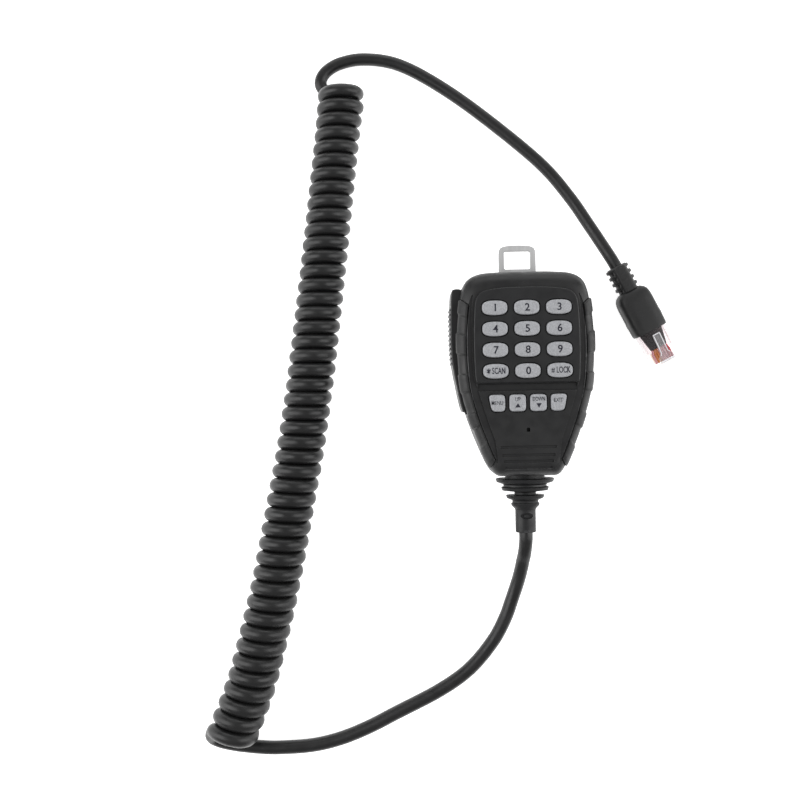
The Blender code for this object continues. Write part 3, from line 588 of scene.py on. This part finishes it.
NODE_LOOKS = [
    (SCREW, ["ptt_pivot_pin", "hanger_screw_1", "hanger_screw_2"]),
    (CHIP, ["ptt_switch", "controller_chip", "audio_chip", "microphone_capsule"]),
    (CASE, ["ptt_plunger"]),
    (SILICONE, ["keypad_mat", "cord_connector", "capsule_boot"]),
    (BOARD, ["circuit_board"]),
    (CAN, ["filter_capacitor"]),
    (WIRES[0][1], ["cord_conductors"]),
    (GOLD, CONTACT_NAMES)]


# ======== case ========
CASE_LINE = smooth(mirrored(CASE_SIDE), 8, closed=True)


def shoulder(loop, rim_z, face_z, radius):
    """Rings from the rim along the straight wall and round the shoulder to the face."""
    way = 1.0 if face_z > rim_z else -1.0
    rings = [level(loop, rim_z)]
    for step in range(SHOULDER_STEPS + 1):
        angle = math.pi / 2 * step / SHOULDER_STEPS
        inset = radius * (1 - math.cos(angle))
        rings.append(level(loop, face_z - way * radius * (1 - math.sin(angle)),
                           (1 - inset / HALF_WIDTH, 1 - inset / HALF_LENGTH)))
    return rings


def shell(name, rim_z, face_z, radius):
    """A hollow half of the case: the inner skin, the rim with a small chamfer and the outer."""
    way = 1.0 if face_z > rim_z else -1.0
    loop = even(CASE_LINE, CASE_POINTS)
    outer = shoulder(loop, rim_z, face_z, radius)
    inner = [level(ring, ring[0].z - way * (WALL if index else 0.0),
                   (1 - WALL / HALF_WIDTH, 1 - WALL / HALF_LENGTH))
             for index, ring in enumerate(outer)]
    chamfer = [level(grown(loop, -0.25), rim_z), level(loop, rim_z + way * 0.25)]
    return solid(name, loft(inner[::-1] + chamfer + outer[1:]))


def side_x(y):
    """Half width of the case outline at y."""
    line = [point for point in CASE_LINE if point.x >= 0]
    for start, end in zip(line, line[1:]):
        if end.y <= y <= start.y:
            return start.x + (end.x - start.x) * (start.y - y) / max(start.y - end.y, 1e-9)
    return line[-1].x


def number_outline(grow=0.0):
    return grown(superellipse(*NUMBER_SIZE, 2.6, 3.0, KEY_POINTS), grow)


def function_outline(slant, grow=0.0):
    """A rounded square; slant -1 leans its left side in towards the bottom, 1 its right side."""
    outline = []
    for point in superellipse(*FUNCTION_SIZE, 5.0, 5.0, KEY_POINTS):
        lean = FUNCTION_SLANT * (0.5 - point.y / FUNCTION_SIZE[1]) * slant
        outline.append(Vector((point.x - lean, point.y)) if point.x * slant > 0 else point)
    return grown(outline, grow)


def key_layout():
    """Every key as (name, place, outline function, top, flange scale)."""
    layout = []
    for row, names in enumerate(NUMBER_KEYS):
        for column, name in enumerate(names):
            place = ((column - 1) * NUMBER_PITCH[0], FIRST_ROW_Y - row * NUMBER_PITCH[1])
            layout.append((name, place, number_outline, NUMBER_TOP, (1.15, 1.22)))
    for column, (name, slant) in enumerate(FUNCTION_KEYS.items()):
        place = ((column - 1.5) * FUNCTION_PITCH, FUNCTION_Y)
        layout.append((name, place, partial(function_outline, slant), FUNCTION_TOP,
                       (1.13, 1.22)))
    return layout


def wells(tops):
    """Cutters for the key wells, with a small chamfer at each one's mouth."""
    return merged([prism(moved(outline(WELL_CLEARANCE), place), FLANGE_TOP + 0.1, top + 2.0,
                         0.15, (BEZEL_TOP if top == NUMBER_TOP else FRONT_Z) - 0.15)
                   for _, place, outline, top, _ in key_layout() if top in tops])


def key_cap(name, place, outline, top, flange):
    """A key with its retaining flange, rounded rim and slightly domed top."""
    loop = outline()
    rings = [level(loop, FLANGE_BOTTOM, flange), level(loop, FLANGE_TOP, flange),
             level(loop, FLANGE_TOP), level(loop, top - DOME - KEY_RIM)]
    rings += rounded_over(loop, top - DOME, KEY_RIM, KEY_INSET, 5)
    flat = grown(loop, -KEY_INSET)
    for share in (0.9, 0.75, 0.5, 0.25, 0.08):
        rings.append(level(flat, top - DOME * share ** 2, (share, share)))
    cap = solid("keycap_" + name, loft(rings), shift(*place))
    dress(cap, KEY, ["key_" + name], "key_" + name, sharp=40.0)


def front_shell():
    obj = shell("case_front", PARTING_Z + GAP / 2, FRONT_Z, FRONT_RADIUS)
    carve(obj, wells((NUMBER_TOP, FUNCTION_TOP)))
    details = [prism(rounded_box(2 * reach, 0.9, 0.42, (0.0, y)), FRONT_Z - deep, FRONT_Z + 2.0,
                     0.15, FRONT_Z - 0.15) for y, reach, deep in GROOVES]
    details.append(prism(rounded_box(1.4, 1.6, 0.35, (0.0, -21.9)), FRONT_Z - WALL - 1.0,
                         FRONT_Z + 1.0))
    for cutters in (details, [step_groove()], [gutter(1), gutter(-1)],
                    [lever_notch(), neck_notch()],
                    [grip_band(side, recess=True) for side in (1, -1)]):
        carve(obj, merged(cutters))
    dress(obj, CASE, ["front_shell"])


def step_strip():
    """A near-black strip on the floor of the step under the number keys: painted shade."""
    dress(solid("keypad_step_painted_shade", block((-19.1, -6.7, FRONT_Z - 1.3), (19.1, -4.2, FRONT_Z - 0.93))),
          STEP_SHADE)


def step_groove():
    """The dark step under the number keys: it slopes down to a flat floor."""
    section = [(-4.0, FRONT_Z + 2.0), (-4.0, FRONT_Z - 0.5), (-4.2, FRONT_Z - 1.0),
               (-6.7, FRONT_Z - 1.0), (-6.8, FRONT_Z - 0.9), (-6.8, FRONT_Z + 2.0)]
    return loft([[Vector((x, y, z)) for y, z in section] for x in (-19.3, 19.3)])


GUTTER = [  # (y, inner x, outer x) of the channel inside each grip
    (30.5, 20.4, 20.8), (27.0, 20.9, 22.1), (22.0, 21.1, 22.6), (8.0, 21.1, 22.7),
    (-1.0, 20.7, 22.3), (-4.5, 19.6, 21.9), (-8.0, 18.6, 21.4), (-14.0, 16.8, 20.1),
    (-20.0, 14.9, 18.3), (-25.5, 13.0, 16.3), (-30.0, 12.3, 14.6), (-34.5, 12.0, 12.6)]


def gutter(side):
    """A shallow channel between the keypad's raised middle and a grip strip."""
    inner = smooth([(x, y) for y, x, far in GUTTER], 4)
    outer = smooth([(far, y) for y, x, far in GUTTER], 4)
    outline = [Vector((side * point.x, point.y)) for point in inner + outer[::-1]]
    return prism(outline, FRONT_Z - 0.7, FRONT_Z + 2.0)


def rear_shell():
    obj = shell("case_rear", PARTING_Z - GAP / 2, 0.0, REAR_RADIUS)
    bosses = [prism(moved(superellipse(6.8, 6.8, 2, 2, 32), place), 1.2, 6.9)
              for place in SCREW_PLACES]
    carve(obj, merged(bosses), 'UNION')
    holes = []
    for place in SCREW_PLACES:
        hole = turned(SCREW_HOLE, 32)
        hole.transform(shift(*place))
        holes.append(hole)
    carve(obj, merged(holes))
    carve(obj, block((HANGER_X - 7.8, 35.0, HANGER_BOTTOM - GAP),
                     (HANGER_X + 7.8, 43.0, HANGER_BOTTOM + HANGER_THICK + GAP)))
    carve(obj, merged([lever_notch(), neck_notch()]))
    dress(obj, CASE, ["rear_shell"])


def lever_notch():
    return block((-33.0, -15.8, PTT_BOTTOM - 0.4), (-19.0, 34.1, PTT_TOP + 0.4))


def neck_notch():
    """Room for the cord's neck through the bottom wall."""
    bm = turned([(0.0, 3.0), (GROMMET_NECK + GAP, 3.0), (GROMMET_NECK + GAP, -4.0), (0.0, -4.0)],
                48, GROMMET_FLATTEN)
    bm.transform(OUT_OF_CASE)
    return bm


def keypad_bezel():
    loop = even(smooth(mirrored(BEZEL_SIDE), 6, closed=True), 200)
    rings = [level(loop, FRONT_Z + 0.02), level(loop, BEZEL_TOP - BEZEL_EDGE)]
    rings += rounded_over(loop, BEZEL_TOP, BEZEL_EDGE, BEZEL_EDGE, 5)
    obj = solid("keypad_panel", loft(rings))
    carve(obj, wells((NUMBER_TOP,)))
    dress(obj, PANEL, ["keypad_bezel"])


GRIP_STATIONS = [  # (y, whether a pad is there)
    (29.0, 0), (28.0, 1), (23.8, 1), (22.8, 0), (16.5, 0), (15.5, 1), (8.4, 1), (7.4, 0),
    (0.4, 0), (-0.6, 1), (-6.9, 1), (-7.9, 0), (-15.3, 0), (-16.3, 1), (-21.0, 1), (-22.0, 0),
    (-28.0, 0), (-29.0, 1), (-36.3, 1)]


def grip_band(side, recess=False):
    """The strip of raised pads on the front shoulder, or the recess it sits in."""
    stations = []
    for (start, pad), (end, next_pad) in zip(GRIP_STATIONS, GRIP_STATIONS[1:]):
        cuts = 5 if pad != next_pad else max(2, round(start - end))
        for cut in range(cuts):
            t = cut / cuts
            ease = t * t * (3 - 2 * t)
            stations.append((start + (end - start) * t, pad + (next_pad - pad) * ease))
    stations.append(GRIP_STATIONS[-1])
    if recess:
        stations[0] = (stations[0][0] + GAP, 0)
        stations[-1] = (stations[-1][0] - GAP, 0)
    low_angle, high_angle = (9, 69) if recess else (12, 66)
    angles = [low_angle + (high_angle - low_angle) * step / 12 for step in range(13)]
    rings = []
    for index, (y, pad) in enumerate(stations):
        ring = []
        for number, angle in enumerate(angles):
            edge = min(number, len(angles) - 1 - number)
            ends = min(index, len(stations) - 1 - index)
            fall = 0.35 * (edge == 0) + 0.08 * (edge == 1) + 0.3 * (ends == 0)
            ring.append((angle, 3.0 if recess else 0.4 + 0.5 * pad - fall))
        ring += [(angle, -1.0 if recess else -0.7) for angle in angles[::-1]]
        rings.append([shoulder_point(side, y, angle, height) for angle, height in ring])
    return loft(rings)


def shoulder_point(side, y, angle, height):
    """A point so far above the front shoulder, at an angle up from its side."""
    reach = FRONT_RADIUS + height
    inset = FRONT_RADIUS - reach * math.cos(math.radians(angle))
    return Vector((side * side_x(y) * (1 - inset / HALF_WIDTH), y * (1 - inset / HALF_LENGTH),
                   FRONT_Z - FRONT_RADIUS + reach * math.sin(math.radians(angle))))


def side_grips():
    for side, word in ((1, "right"), (-1, "left")):
        dress(solid("grip_" + word, grip_band(side)), RUBBER,
              ["side_grip_" + word], sharp=40.0)


def ptt_lever():
    """The lever: a rounded plan with a row of upright ribs where the thumb presses."""
    loop = even(smooth(PTT_OUTLINE, 6, closed=True), 360)
    ribbed = []
    for point, outward in zip(loop, grown(loop, 1.0)):
        along = (point.y - RIB_SPAN[0]) / (RIB_SPAN[1] - RIB_SPAN[0])
        high = 0.0
        if point.x < -27.0 and 0 < along < 1:
            high = RIB_HEIGHT * min(1.0, 2.2 * max(0.0, math.sin(math.pi * RIB_COUNT * along) ** 2
                                                   - 0.25))
        ribbed.append(point + (outward - point) * high)
    rings = [level(grown(loop, -0.5), PTT_BOTTOM), level(loop, PTT_BOTTOM + 0.5),
             level(loop, PTT_BOTTOM + 1.6), level(ribbed, PTT_BOTTOM + 2.0),
             level(ribbed, PTT_TOP - 1.6), level(loop, PTT_TOP - 1.1)]
    rings += rounded_over(loop, PTT_TOP, PTT_EDGE, PTT_EDGE, 4)
    obj = solid("talk_lever", loft(rings))
    carve(obj, prism(moved(superellipse(2.6, 2.6, 2, 2, 24), PTT_PIVOT), PTT_BOTTOM - 1,
                     PTT_TOP + 1))
    dress(obj, CASE, ["ptt_lever"], "ptt_lever")


def hanger():
    top = HANGER_BOTTOM + HANGER_THICK
    half = [(0.0, 52.3)] + HANGER_SIDE + [(0.0, 28.0)]
    loop = even(moved([Vector(point) for point in mirrored(half)], (HANGER_X, 0.0)), 160)
    edge = 0.2
    obj = solid("hanger", loft([level(grown(loop, -edge), HANGER_BOTTOM),
                                level(loop, HANGER_BOTTOM + edge), level(loop, top - edge),
                                level(grown(loop, -edge), top)]))
    width, height, middle = HANGER_WINDOW
    window = prism(rounded_box(width, height, 0.7, (HANGER_X, middle)), HANGER_BOTTOM - 1,
                   top + 1.0, edge, top - edge)
    holes = [prism(moved(superellipse(2.2, 2.2, 2, 2, 24), (HANGER_X + x, HANGER_SCREW_Y)),
                   HANGER_BOTTOM - 1, top + 1) for x in (-4.0, 4.0)]
    carve(obj, merged([window] + holes))
    dress(obj, STEEL, ["hanger_plate"])


def case_screws():
    """Pan heads with a cross recess, driven from the back."""
    for number, place in enumerate(SCREW_PLACES):
        obj = solid("screw_" + str(number + 1), turned(SCREW_PROFILE, 32), shift(*place))
        turn = shift(*place) @ Matrix.Rotation(0.6 * number, 4, 'Z')
        carve(obj, block((-1.3, -0.28, 2.0), (1.3, 0.28, 3.3)), matrix=turn)
        carve(obj, block((-0.28, -1.3, 2.0), (0.28, 1.3, 3.3)), matrix=turn)
        dress(obj, SCREW, ["case_screw_" + str(number + 1)])


def grommet():
    """The strain relief: flanges of falling size, then a sleeve with an oval ring in its top."""
    obj = solid("strain_relief", turned(GROMMET_PROFILE, 72, GROMMET_FLATTEN), OUT_OF_CASE)
    oval = superellipse(5.0, 2.6, 2, 2, 40)
    ring = prism(moved(oval, (0.2, RING_Y)), GROMMET_Z + 2.0, GROMMET_Z + 6.0)
    carve(obj, ring)
    island = prism(moved(superellipse(2.2, 0.9, 2, 2, 32), (0.2, RING_Y)), GROMMET_Z,
                   GROMMET_Z + 2.9)
    carve(obj, island, 'UNION')
    dress(obj, PANEL, ["cord_grommet"])


# ======== legends ========
PAD_HALF = 0.13  # half a printed pad's thickness


def text_mesh(text, size, width):
    """Letters as a thin closed mesh about the origin, in millimetres; width narrows them."""
    curve = bpy.data.curves.new("text", 'FONT')
    curve.body = text
    curve.size = size
    curve.align_x = 'CENTER'
    curve.align_y = 'CENTER'
    curve.extrude = PAD_HALF
    curve.offset = (0.020 if size > 3.0 else 0.004) * size
    curve.resolution_u = 4
    obj = added("text", curve)
    mesh = evaluated(obj)
    bpy.data.objects.remove(obj, do_unlink=True)
    bm = bmesh.new()
    bm.from_mesh(mesh)
    bpy.data.meshes.remove(mesh)
    bmesh.ops.remove_doubles(bm, verts=bm.verts, dist=0.001)
    bmesh.ops.scale(bm, vec=(width, 1.0, 1.0), verts=bm.verts)
    return bm


PAD_SINK = 0.11  # of its middle under the dome's top
TRIANGLE = [(-0.85, -0.6), (0.85, -0.6), (0.0, 0.75)]
LEGENDS = {  # (text, size, width, x, y) of each; a number is a triangle
    "star": [("*", 4.4, 0.8, -2.75, -0.85), ("SCAN", 3.3, 0.60, 1.05, 0.0)],
    "hash": [("#", 2.7, 0.8, -2.75, 0.0), ("LOCK", 3.3, 0.60, 1.15, 0.0)],
    "menu": [("MENU", 2.2, 0.76, 0.1, 0.0)],
    "up": [("UP", 2.2, 0.80, 0.0, 1.35), (1, 1.25, 1.0, 0.0, -1.0)],
    "down": [("DOWN", 2.2, 0.66, 0.1, 1.35), (-1, 1.25, 1.0, 0.1, -1.0)],
    "exit": [("EXIT", 2.3, 0.74, -0.4, 0.8)]}


def legend(name, place, top):
    """The printed figure on a key: a thin pad whose face stands just clear of the dome."""
    parts = []
    for what, size, width, x, y in LEGENDS.get(name, [(name, 4.0, 1.0, 0.15, -0.1)]):
        if isinstance(what, str):
            bm = text_mesh(what, size, width)
        else:
            bm = loft([level(TRIANGLE, z, (size, size * what)) for z in (-PAD_HALF, PAD_HALF)])
        bm.transform(shift(x, y, top - PAD_SINK))
        parts.append(bm)
    whole = merged(parts)
    bmesh.ops.recalc_face_normals(whole, faces=whole.faces)
    obj = solid("legend_" + name, whole, shift(*place))
    dress(obj, INK, (), "key_" + name)


# ======== cord ========
def coil_line():
    """The curly cord's own line, from the plug end to the microphone end."""
    axis = smooth([(x, y, 0.0) for x, y in COIL_AXIS], 12)
    reach = lengths_along(axis)
    turning = [0.0]  # how far the turns have got by each small step along
    for step in range(COIL_STEPS):
        t = (step + 0.5) / COIL_STEPS
        drift = 1.0 + 0.015 * noise.noise(Vector((t * 17.0, 3.1, 0.0)))
        pitch = COIL_PITCH[0] + (COIL_PITCH[1] - COIL_PITCH[0]) * t
        turning.append(turning[-1] + 1.0 / (pitch * drift))
    count = COIL_TURNS * COIL_POINTS
    line = []
    for step in range(count + 1):
        index, share = stretch_at(turning, turning[-1] * step / count)
        line.append(coil_point(axis, reach, (index + share) / COIL_STEPS,
                               2 * math.pi * step / COIL_POINTS - math.pi / 2))
    return line


def coil_point(axis, reach, t, angle):
    """The point at a share of the coil's length and an angle round its axis."""
    index, share = stretch_at(reach, reach[-1] * t)
    middle = axis[index].lerp(axis[index + 1], share)
    ahead = (axis[min(index + 2, len(axis) - 1)] - axis[max(index - 1, 0)]).normalized()
    radius = COIL_RADIUS[0] + (COIL_RADIUS[1] - COIL_RADIUS[0]) * t
    radius += 0.10 * noise.noise(Vector((t * 30.0, 0.0, 7.7))) * math.sin(math.pi * t)
    for (extra, span), away in ((COIL_FLARE, t), (COIL_TAIL, 1.0 - t)):
        radius += extra * max(0.0, 1.0 - away / span) ** 2
    side = Vector((-ahead.y, ahead.x, 0.0))
    height = CORD_REST + COIL_LIFT + radius * (1 + math.sin(angle))
    return middle + side * radius * math.cos(angle) + Vector((0.0, 0.0, height))


def cord_line():
    """The whole cord's line: lead, coil and lead, eased where they meet."""
    way = Vector((-math.sin(PLUG_TURN), math.cos(PLUG_TURN), 0.0))
    ends = [PLUG_PLACE - way * (GAP + 2.5), PLUG_PLACE + way * 1.0]
    mic_lead, plug_lead = [[(*point, CORD_REST)[:3] for point in lead]
                           for lead in (MIC_LEAD, PLUG_LEAD)]
    start = Vector(mic_lead[0]) + Vector((0.0, 1.5, 0.0))
    coil = coil_line()[::-1]
    skip = COIL_POINTS // 4
    first = smooth([start] + mic_lead[1:] + coil[skip:skip + 3:2], 6)
    last = smooth([coil[-4], coil[-1]] + plug_lead + ends, 6)
    line = first[:-1] + coil[skip + 2:-4] + last
    joins = (len(first), len(line) - len(last))
    for _ in range(EASE_PASSES):
        for join in joins:
            eased = {i: (line[i - 1] + 2 * line[i] + line[i + 1]) / 4
                     for i in range(join - EASE_REACH, join + EASE_REACH)}
            for i, point in eased.items():
                line[i] = point
    return line, joins


def fullness(index, joins, count):
    """The cord's thickness there as a share of its diameter: the turns swell until they touch."""
    lead = LEAD_FULLNESS[0] + (LEAD_FULLNESS[1] - LEAD_FULLNESS[0]) * index / count
    coiled = (index - joins[0]) / (joins[1] - joins[0])
    turn = (COIL_PITCH[1] + (COIL_PITCH[0] - COIL_PITCH[1]) * coiled) / CORD_DIAMETER
    share = max(0.0, min(index - joins[0] + COIL_POINTS / 2, joins[1] - index, COIL_POINTS))
    return lead + (turn - lead) * share / COIL_POINTS


def cord():
    line, joins = cord_line()
    curve = bpy.data.curves.new("cord", 'CURVE')
    curve.dimensions = '3D'
    curve.bevel_depth = CORD_DIAMETER / 2 * MM
    curve.bevel_resolution = 7
    curve.use_fill_caps = True
    spline = curve.splines.new('POLY')
    spline.points.add(len(line) - 1)
    for index, (place, point) in enumerate(zip(spline.points, line)):
        place.co = (point.x * MM, point.y * MM, point.z * MM, 1.0)
        place.radius = fullness(index, joins, len(line))
    curve.materials.append(CORD)
    obj = added("cord", curve)
    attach(obj, "root")
    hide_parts("mic_lead", "coiled_cord", "plug_lead")
    return obj, lengths_along(line)[-1] * MM


# ======== plug ========
def up_plug(bm):
    """Turns a shape built up Z to run along the plug's +Y."""
    bm.transform(Matrix.Rotation(math.radians(-90), 4, 'X'))
    return bm


def plug_boot():
    """The moulded hood and its ribbed boot, with a pocket for the clear plug."""
    section = superellipse(14.1, 11.0, 4, 4, 64)
    hood = loft([level(section, y, scales) for y, *scales in HOOD_RINGS])
    obj = solid("plug_hood", up_plug(hood), PLUG_FRAME)
    profile = [(0.0, 12.4), (3.9, 12.4)]
    for rib in range(4):
        top = 9.2 - 2.65 * rib
        profile += [(3.9, top + 0.1), (4.05, top), (4.65, top - 0.2), (4.78, top - 0.45),
                    (4.78, top - 1.1), (4.6, top - 1.45), (4.0, top - 1.6), (3.9, top - 1.75)]
    profile += [(3.75, -0.6), (0.0, -0.6)]
    carve(obj, up_plug(turned(profile, 48)), 'UNION', PLUG_FRAME)
    carve(obj, plug_shape(2.9, 4.72, -0.2, 10.8, 1.6, 0.3), 'UNION', PLUG_FRAME)
    pocket = prism(rounded_box(2 * (PLUG_HALF_WIDTH + GAP), 2 * (PLUG_HALF_HEIGHT + GAP), 0.6),
                   PLUG_START - GAP, 30.0)
    carve(obj, up_plug(pocket), matrix=PLUG_FRAME)
    return dress(obj, RUBBER, ["plug_boot"])


def plug_shape(half_x, half_z, start, end, radius, edge):
    """A rounded bar along the plug's +Y with eased ends."""
    loop = rounded_box(2 * half_x, 2 * half_z, radius)
    inner = grown(loop, -edge)
    return up_plug(loft([level(inner, start), level(loop, start + edge), level(loop, end - edge),
                         level(inner, end)]))


def plug_body():
    """The clear shell: a cavity for the cord's end and slots for the contacts."""
    obj = solid("plug_shell", plug_shape(PLUG_HALF_WIDTH, PLUG_HALF_HEIGHT, PLUG_START, PLUG_NOSE,
                                         0.5, 0.35), PLUG_FRAME)
    carve(obj, plug_shape(5.2, 1.65, PLUG_START - 1, 37.2, 0.4, 0.3),
          matrix=PLUG_FRAME @ CAVITY_LIFT)
    slots = [block((x - 0.24, 37.5, -PLUG_HALF_HEIGHT - 1), (x + 0.24, 42.3, -1.2))
             for x in CONTACT_PLACES]
    carve(obj, merged(slots), matrix=PLUG_FRAME)
    return dress(obj, CLEAR, ["plug_body"])


LATCH_LINE = [  # (y, low z, high z, half width) from the hinge back
    (42.7, 3.35, 4.2, 3.0), (41.6, 3.5, 4.5, 3.0), (40.4, 3.75, 4.75, 2.9),
    (39.6, 3.95, 4.9, 2.3), (38.8, 4.15, 5.0, 1.7), (36.0, 4.65, 5.5, 1.6),
    (32.4, 5.30, 6.10, 1.6), (31.0, 5.55, 6.28, 1.6), (30.6, 5.75, 6.28, 1.45)]
RIM_WIDTH = 0.38
RIM_HEIGHT = 0.2


def plug_latch():
    """The springy tab, wide at its hinge and narrow along its arm."""
    rings = [[(-half, y, low), (half, y, low), (half, y, high), (-half, y, high)]
             for y, low, high, half in LATCH_LINE]
    obj = solid("plug_tab", loft(rings), PLUG_FRAME)
    return dress(obj, LATCH, ["plug_latch"], "plug_latch")


def latch_rim():
    """The pale raised rim round the tab's arm."""
    arm = LATCH_LINE[3:]
    bars = []
    for side in (-1, 1):
        rings = []
        for y, _, high, half in arm:
            outer = side * (half - 0.05)
            inner = side * (half - 0.05 - RIM_WIDTH)
            rings.append([(outer, y, high + 0.02), (inner, y, high + 0.02),
                          (inner, y, high + RIM_HEIGHT), (outer, y, high + RIM_HEIGHT)])
        bars.append(loft(rings))
    y, _, high, half = arm[-1]
    obj = solid("plug_tab_rim", bars[0], PLUG_FRAME)
    carve(obj, bars[1], 'UNION', PLUG_FRAME)
    carve(obj, block((-half + 0.05, y, high + 0.03), (half - 0.05, y + RIM_WIDTH,
                                                      high + RIM_HEIGHT - 0.02)), 'UNION',
          PLUG_FRAME)
    return dress(obj, RIM, (), "plug_latch")


def plug_insides():
    """The cord's jacket pressed flat in the plug, and the coloured conductors ahead of it."""
    jacket = loft([level(superellipse(*size, 5, 3.5, 40), y) for y, *size in JACKET_RINGS])
    made = [dress(solid("plug_jacket", up_plug(jacket), PLUG_FRAME @ CAVITY_LIFT), CORD,
                  ["plug_jacket_end"])]
    for name, material, members in WIRES:
        wires = []
        for index in members:
            x = CONTACT_PLACES[index]
            path = [(x * 0.85, 36.3, 0.25), (x * 0.92, 37.4, 0.25), (x, 38.6, 0.15),
                    (x, 40.4, -0.1), (x, 42.2, -0.3)]
            wires.append(wire(smooth(path, 4), 0.44))
        made.append(dress(solid(name, merged(wires), PLUG_FRAME), material,
                          ["plug_conductors"], sharp=60.0))
    return made


def wire(line, radius):
    """A thin round wire that runs roughly along +Y."""
    rings = []
    for point in line:
        rings.append([point + Vector((radius * math.cos(2 * math.pi * i / 12), 0.0,
                                      radius * math.sin(2 * math.pi * i / 12)))
                      for i in range(12)])
    return loft(rings)


# ======== build ========
front_shell()
rear_shell()
keypad_bezel()
step_strip()
side_grips()
ptt_lever()
hanger()
case_screws()
grommet()
for key in key_layout():
    key_cap(*key)
    legend(*key[:2], key[3])
for look, names in NODE_LOOKS:
    for node_name in names:
        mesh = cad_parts[node_name].data
        mesh.materials.clear()
        mesh.materials.append(look)

flex, flex_length = cord()
ON_CORD = [plug_boot(), plug_body(), plug_latch(), latch_rim(), *plug_insides()]
ON_CORD += [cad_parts[node_name] for node_name in CONTACT_NAMES]


# ======== studio, in metres ========
FLOOR_REACH = 4.0
FLOOR_Z = -0.0002
FLOOR_GLOW = 0.80  # lifts the soft shadows out of the white ground
WORLD_STRENGTH = 0.45
LIGHTS_AIM = Vector((-0.03, 0.0, 0.0))
LIGHTS = [  # (name, place, size, watts)
    ("left_light", (-0.95, 0.0, 0.60), (0.8, 1.4), 10.0),
    ("right_light", (0.95, 0.0, 0.60), (0.8, 1.4), 9.0),
    ("head_light", (0.0, 1.1, 0.5), (1.4, 0.6), 4.0)]
CAMERA_PLACE = (-0.04925, -0.00952, 0.400)
CAMERA_ROLL = math.radians(-1.1)
CAMERA_LENS = 43.6
CAMERA_SENSOR = 36.0


def floor():
    mesh = bpy.data.meshes.new("floor")
    corners = [(x * FLOOR_REACH, y * FLOOR_REACH, FLOOR_Z)
               for x, y in ((-1, -1), (1, -1), (1, 1), (-1, 1))]
    mesh.from_pydata(corners, [], [(0, 1, 2, 3)])
    obj = added("floor", mesh)
    made = Surface("floor_pale", 0.85)
    made.bump(made.noise(40.0, 4.0), 0.05, 1.0)
    made.set(made.shader, "Emission Color", (1.0, 1.0, 1.0, 1.0))
    made.set(made.shader, "Emission Strength", FLOOR_GLOW)
    mesh.materials.append(made.done(made.mottle((0.93, 0.93, 0.93), 0.01, 3.0)))


def studio():
    """White surroundings and the soft boxes."""
    world = bpy.data.worlds.new("studio")
    world.use_nodes = True
    sky = world.node_tree.nodes["Background"]
    sky.inputs["Color"].default_value = (1.0, 1.0, 1.0, 1.0)
    sky.inputs["Strength"].default_value = WORLD_STRENGTH
    bpy.context.scene.world = world
    for name, place, size, power in LIGHTS:
        light = bpy.data.lights.new(name, 'AREA')
        light.shape = 'RECTANGLE'
        light.size, light.size_y = size
        light.energy = power
        obj = added(name, light)
        obj.location = place
        obj.rotation_euler = (LIGHTS_AIM - Vector(place)).to_track_quat('-Z', 'Y').to_euler()


def camera():
    view = bpy.data.cameras.new("camera")
    view.sensor_width = CAMERA_SENSOR
    view.lens = CAMERA_LENS
    view.clip_start = 0.01
    obj = added("camera", view)
    obj.location = CAMERA_PLACE
    obj.rotation_euler = (0.0, 0.0, CAMERA_ROLL)
    bpy.context.scene.camera = obj


floor()
studio()
camera()
bpy.context.scene.view_settings.view_transform = 'Standard'
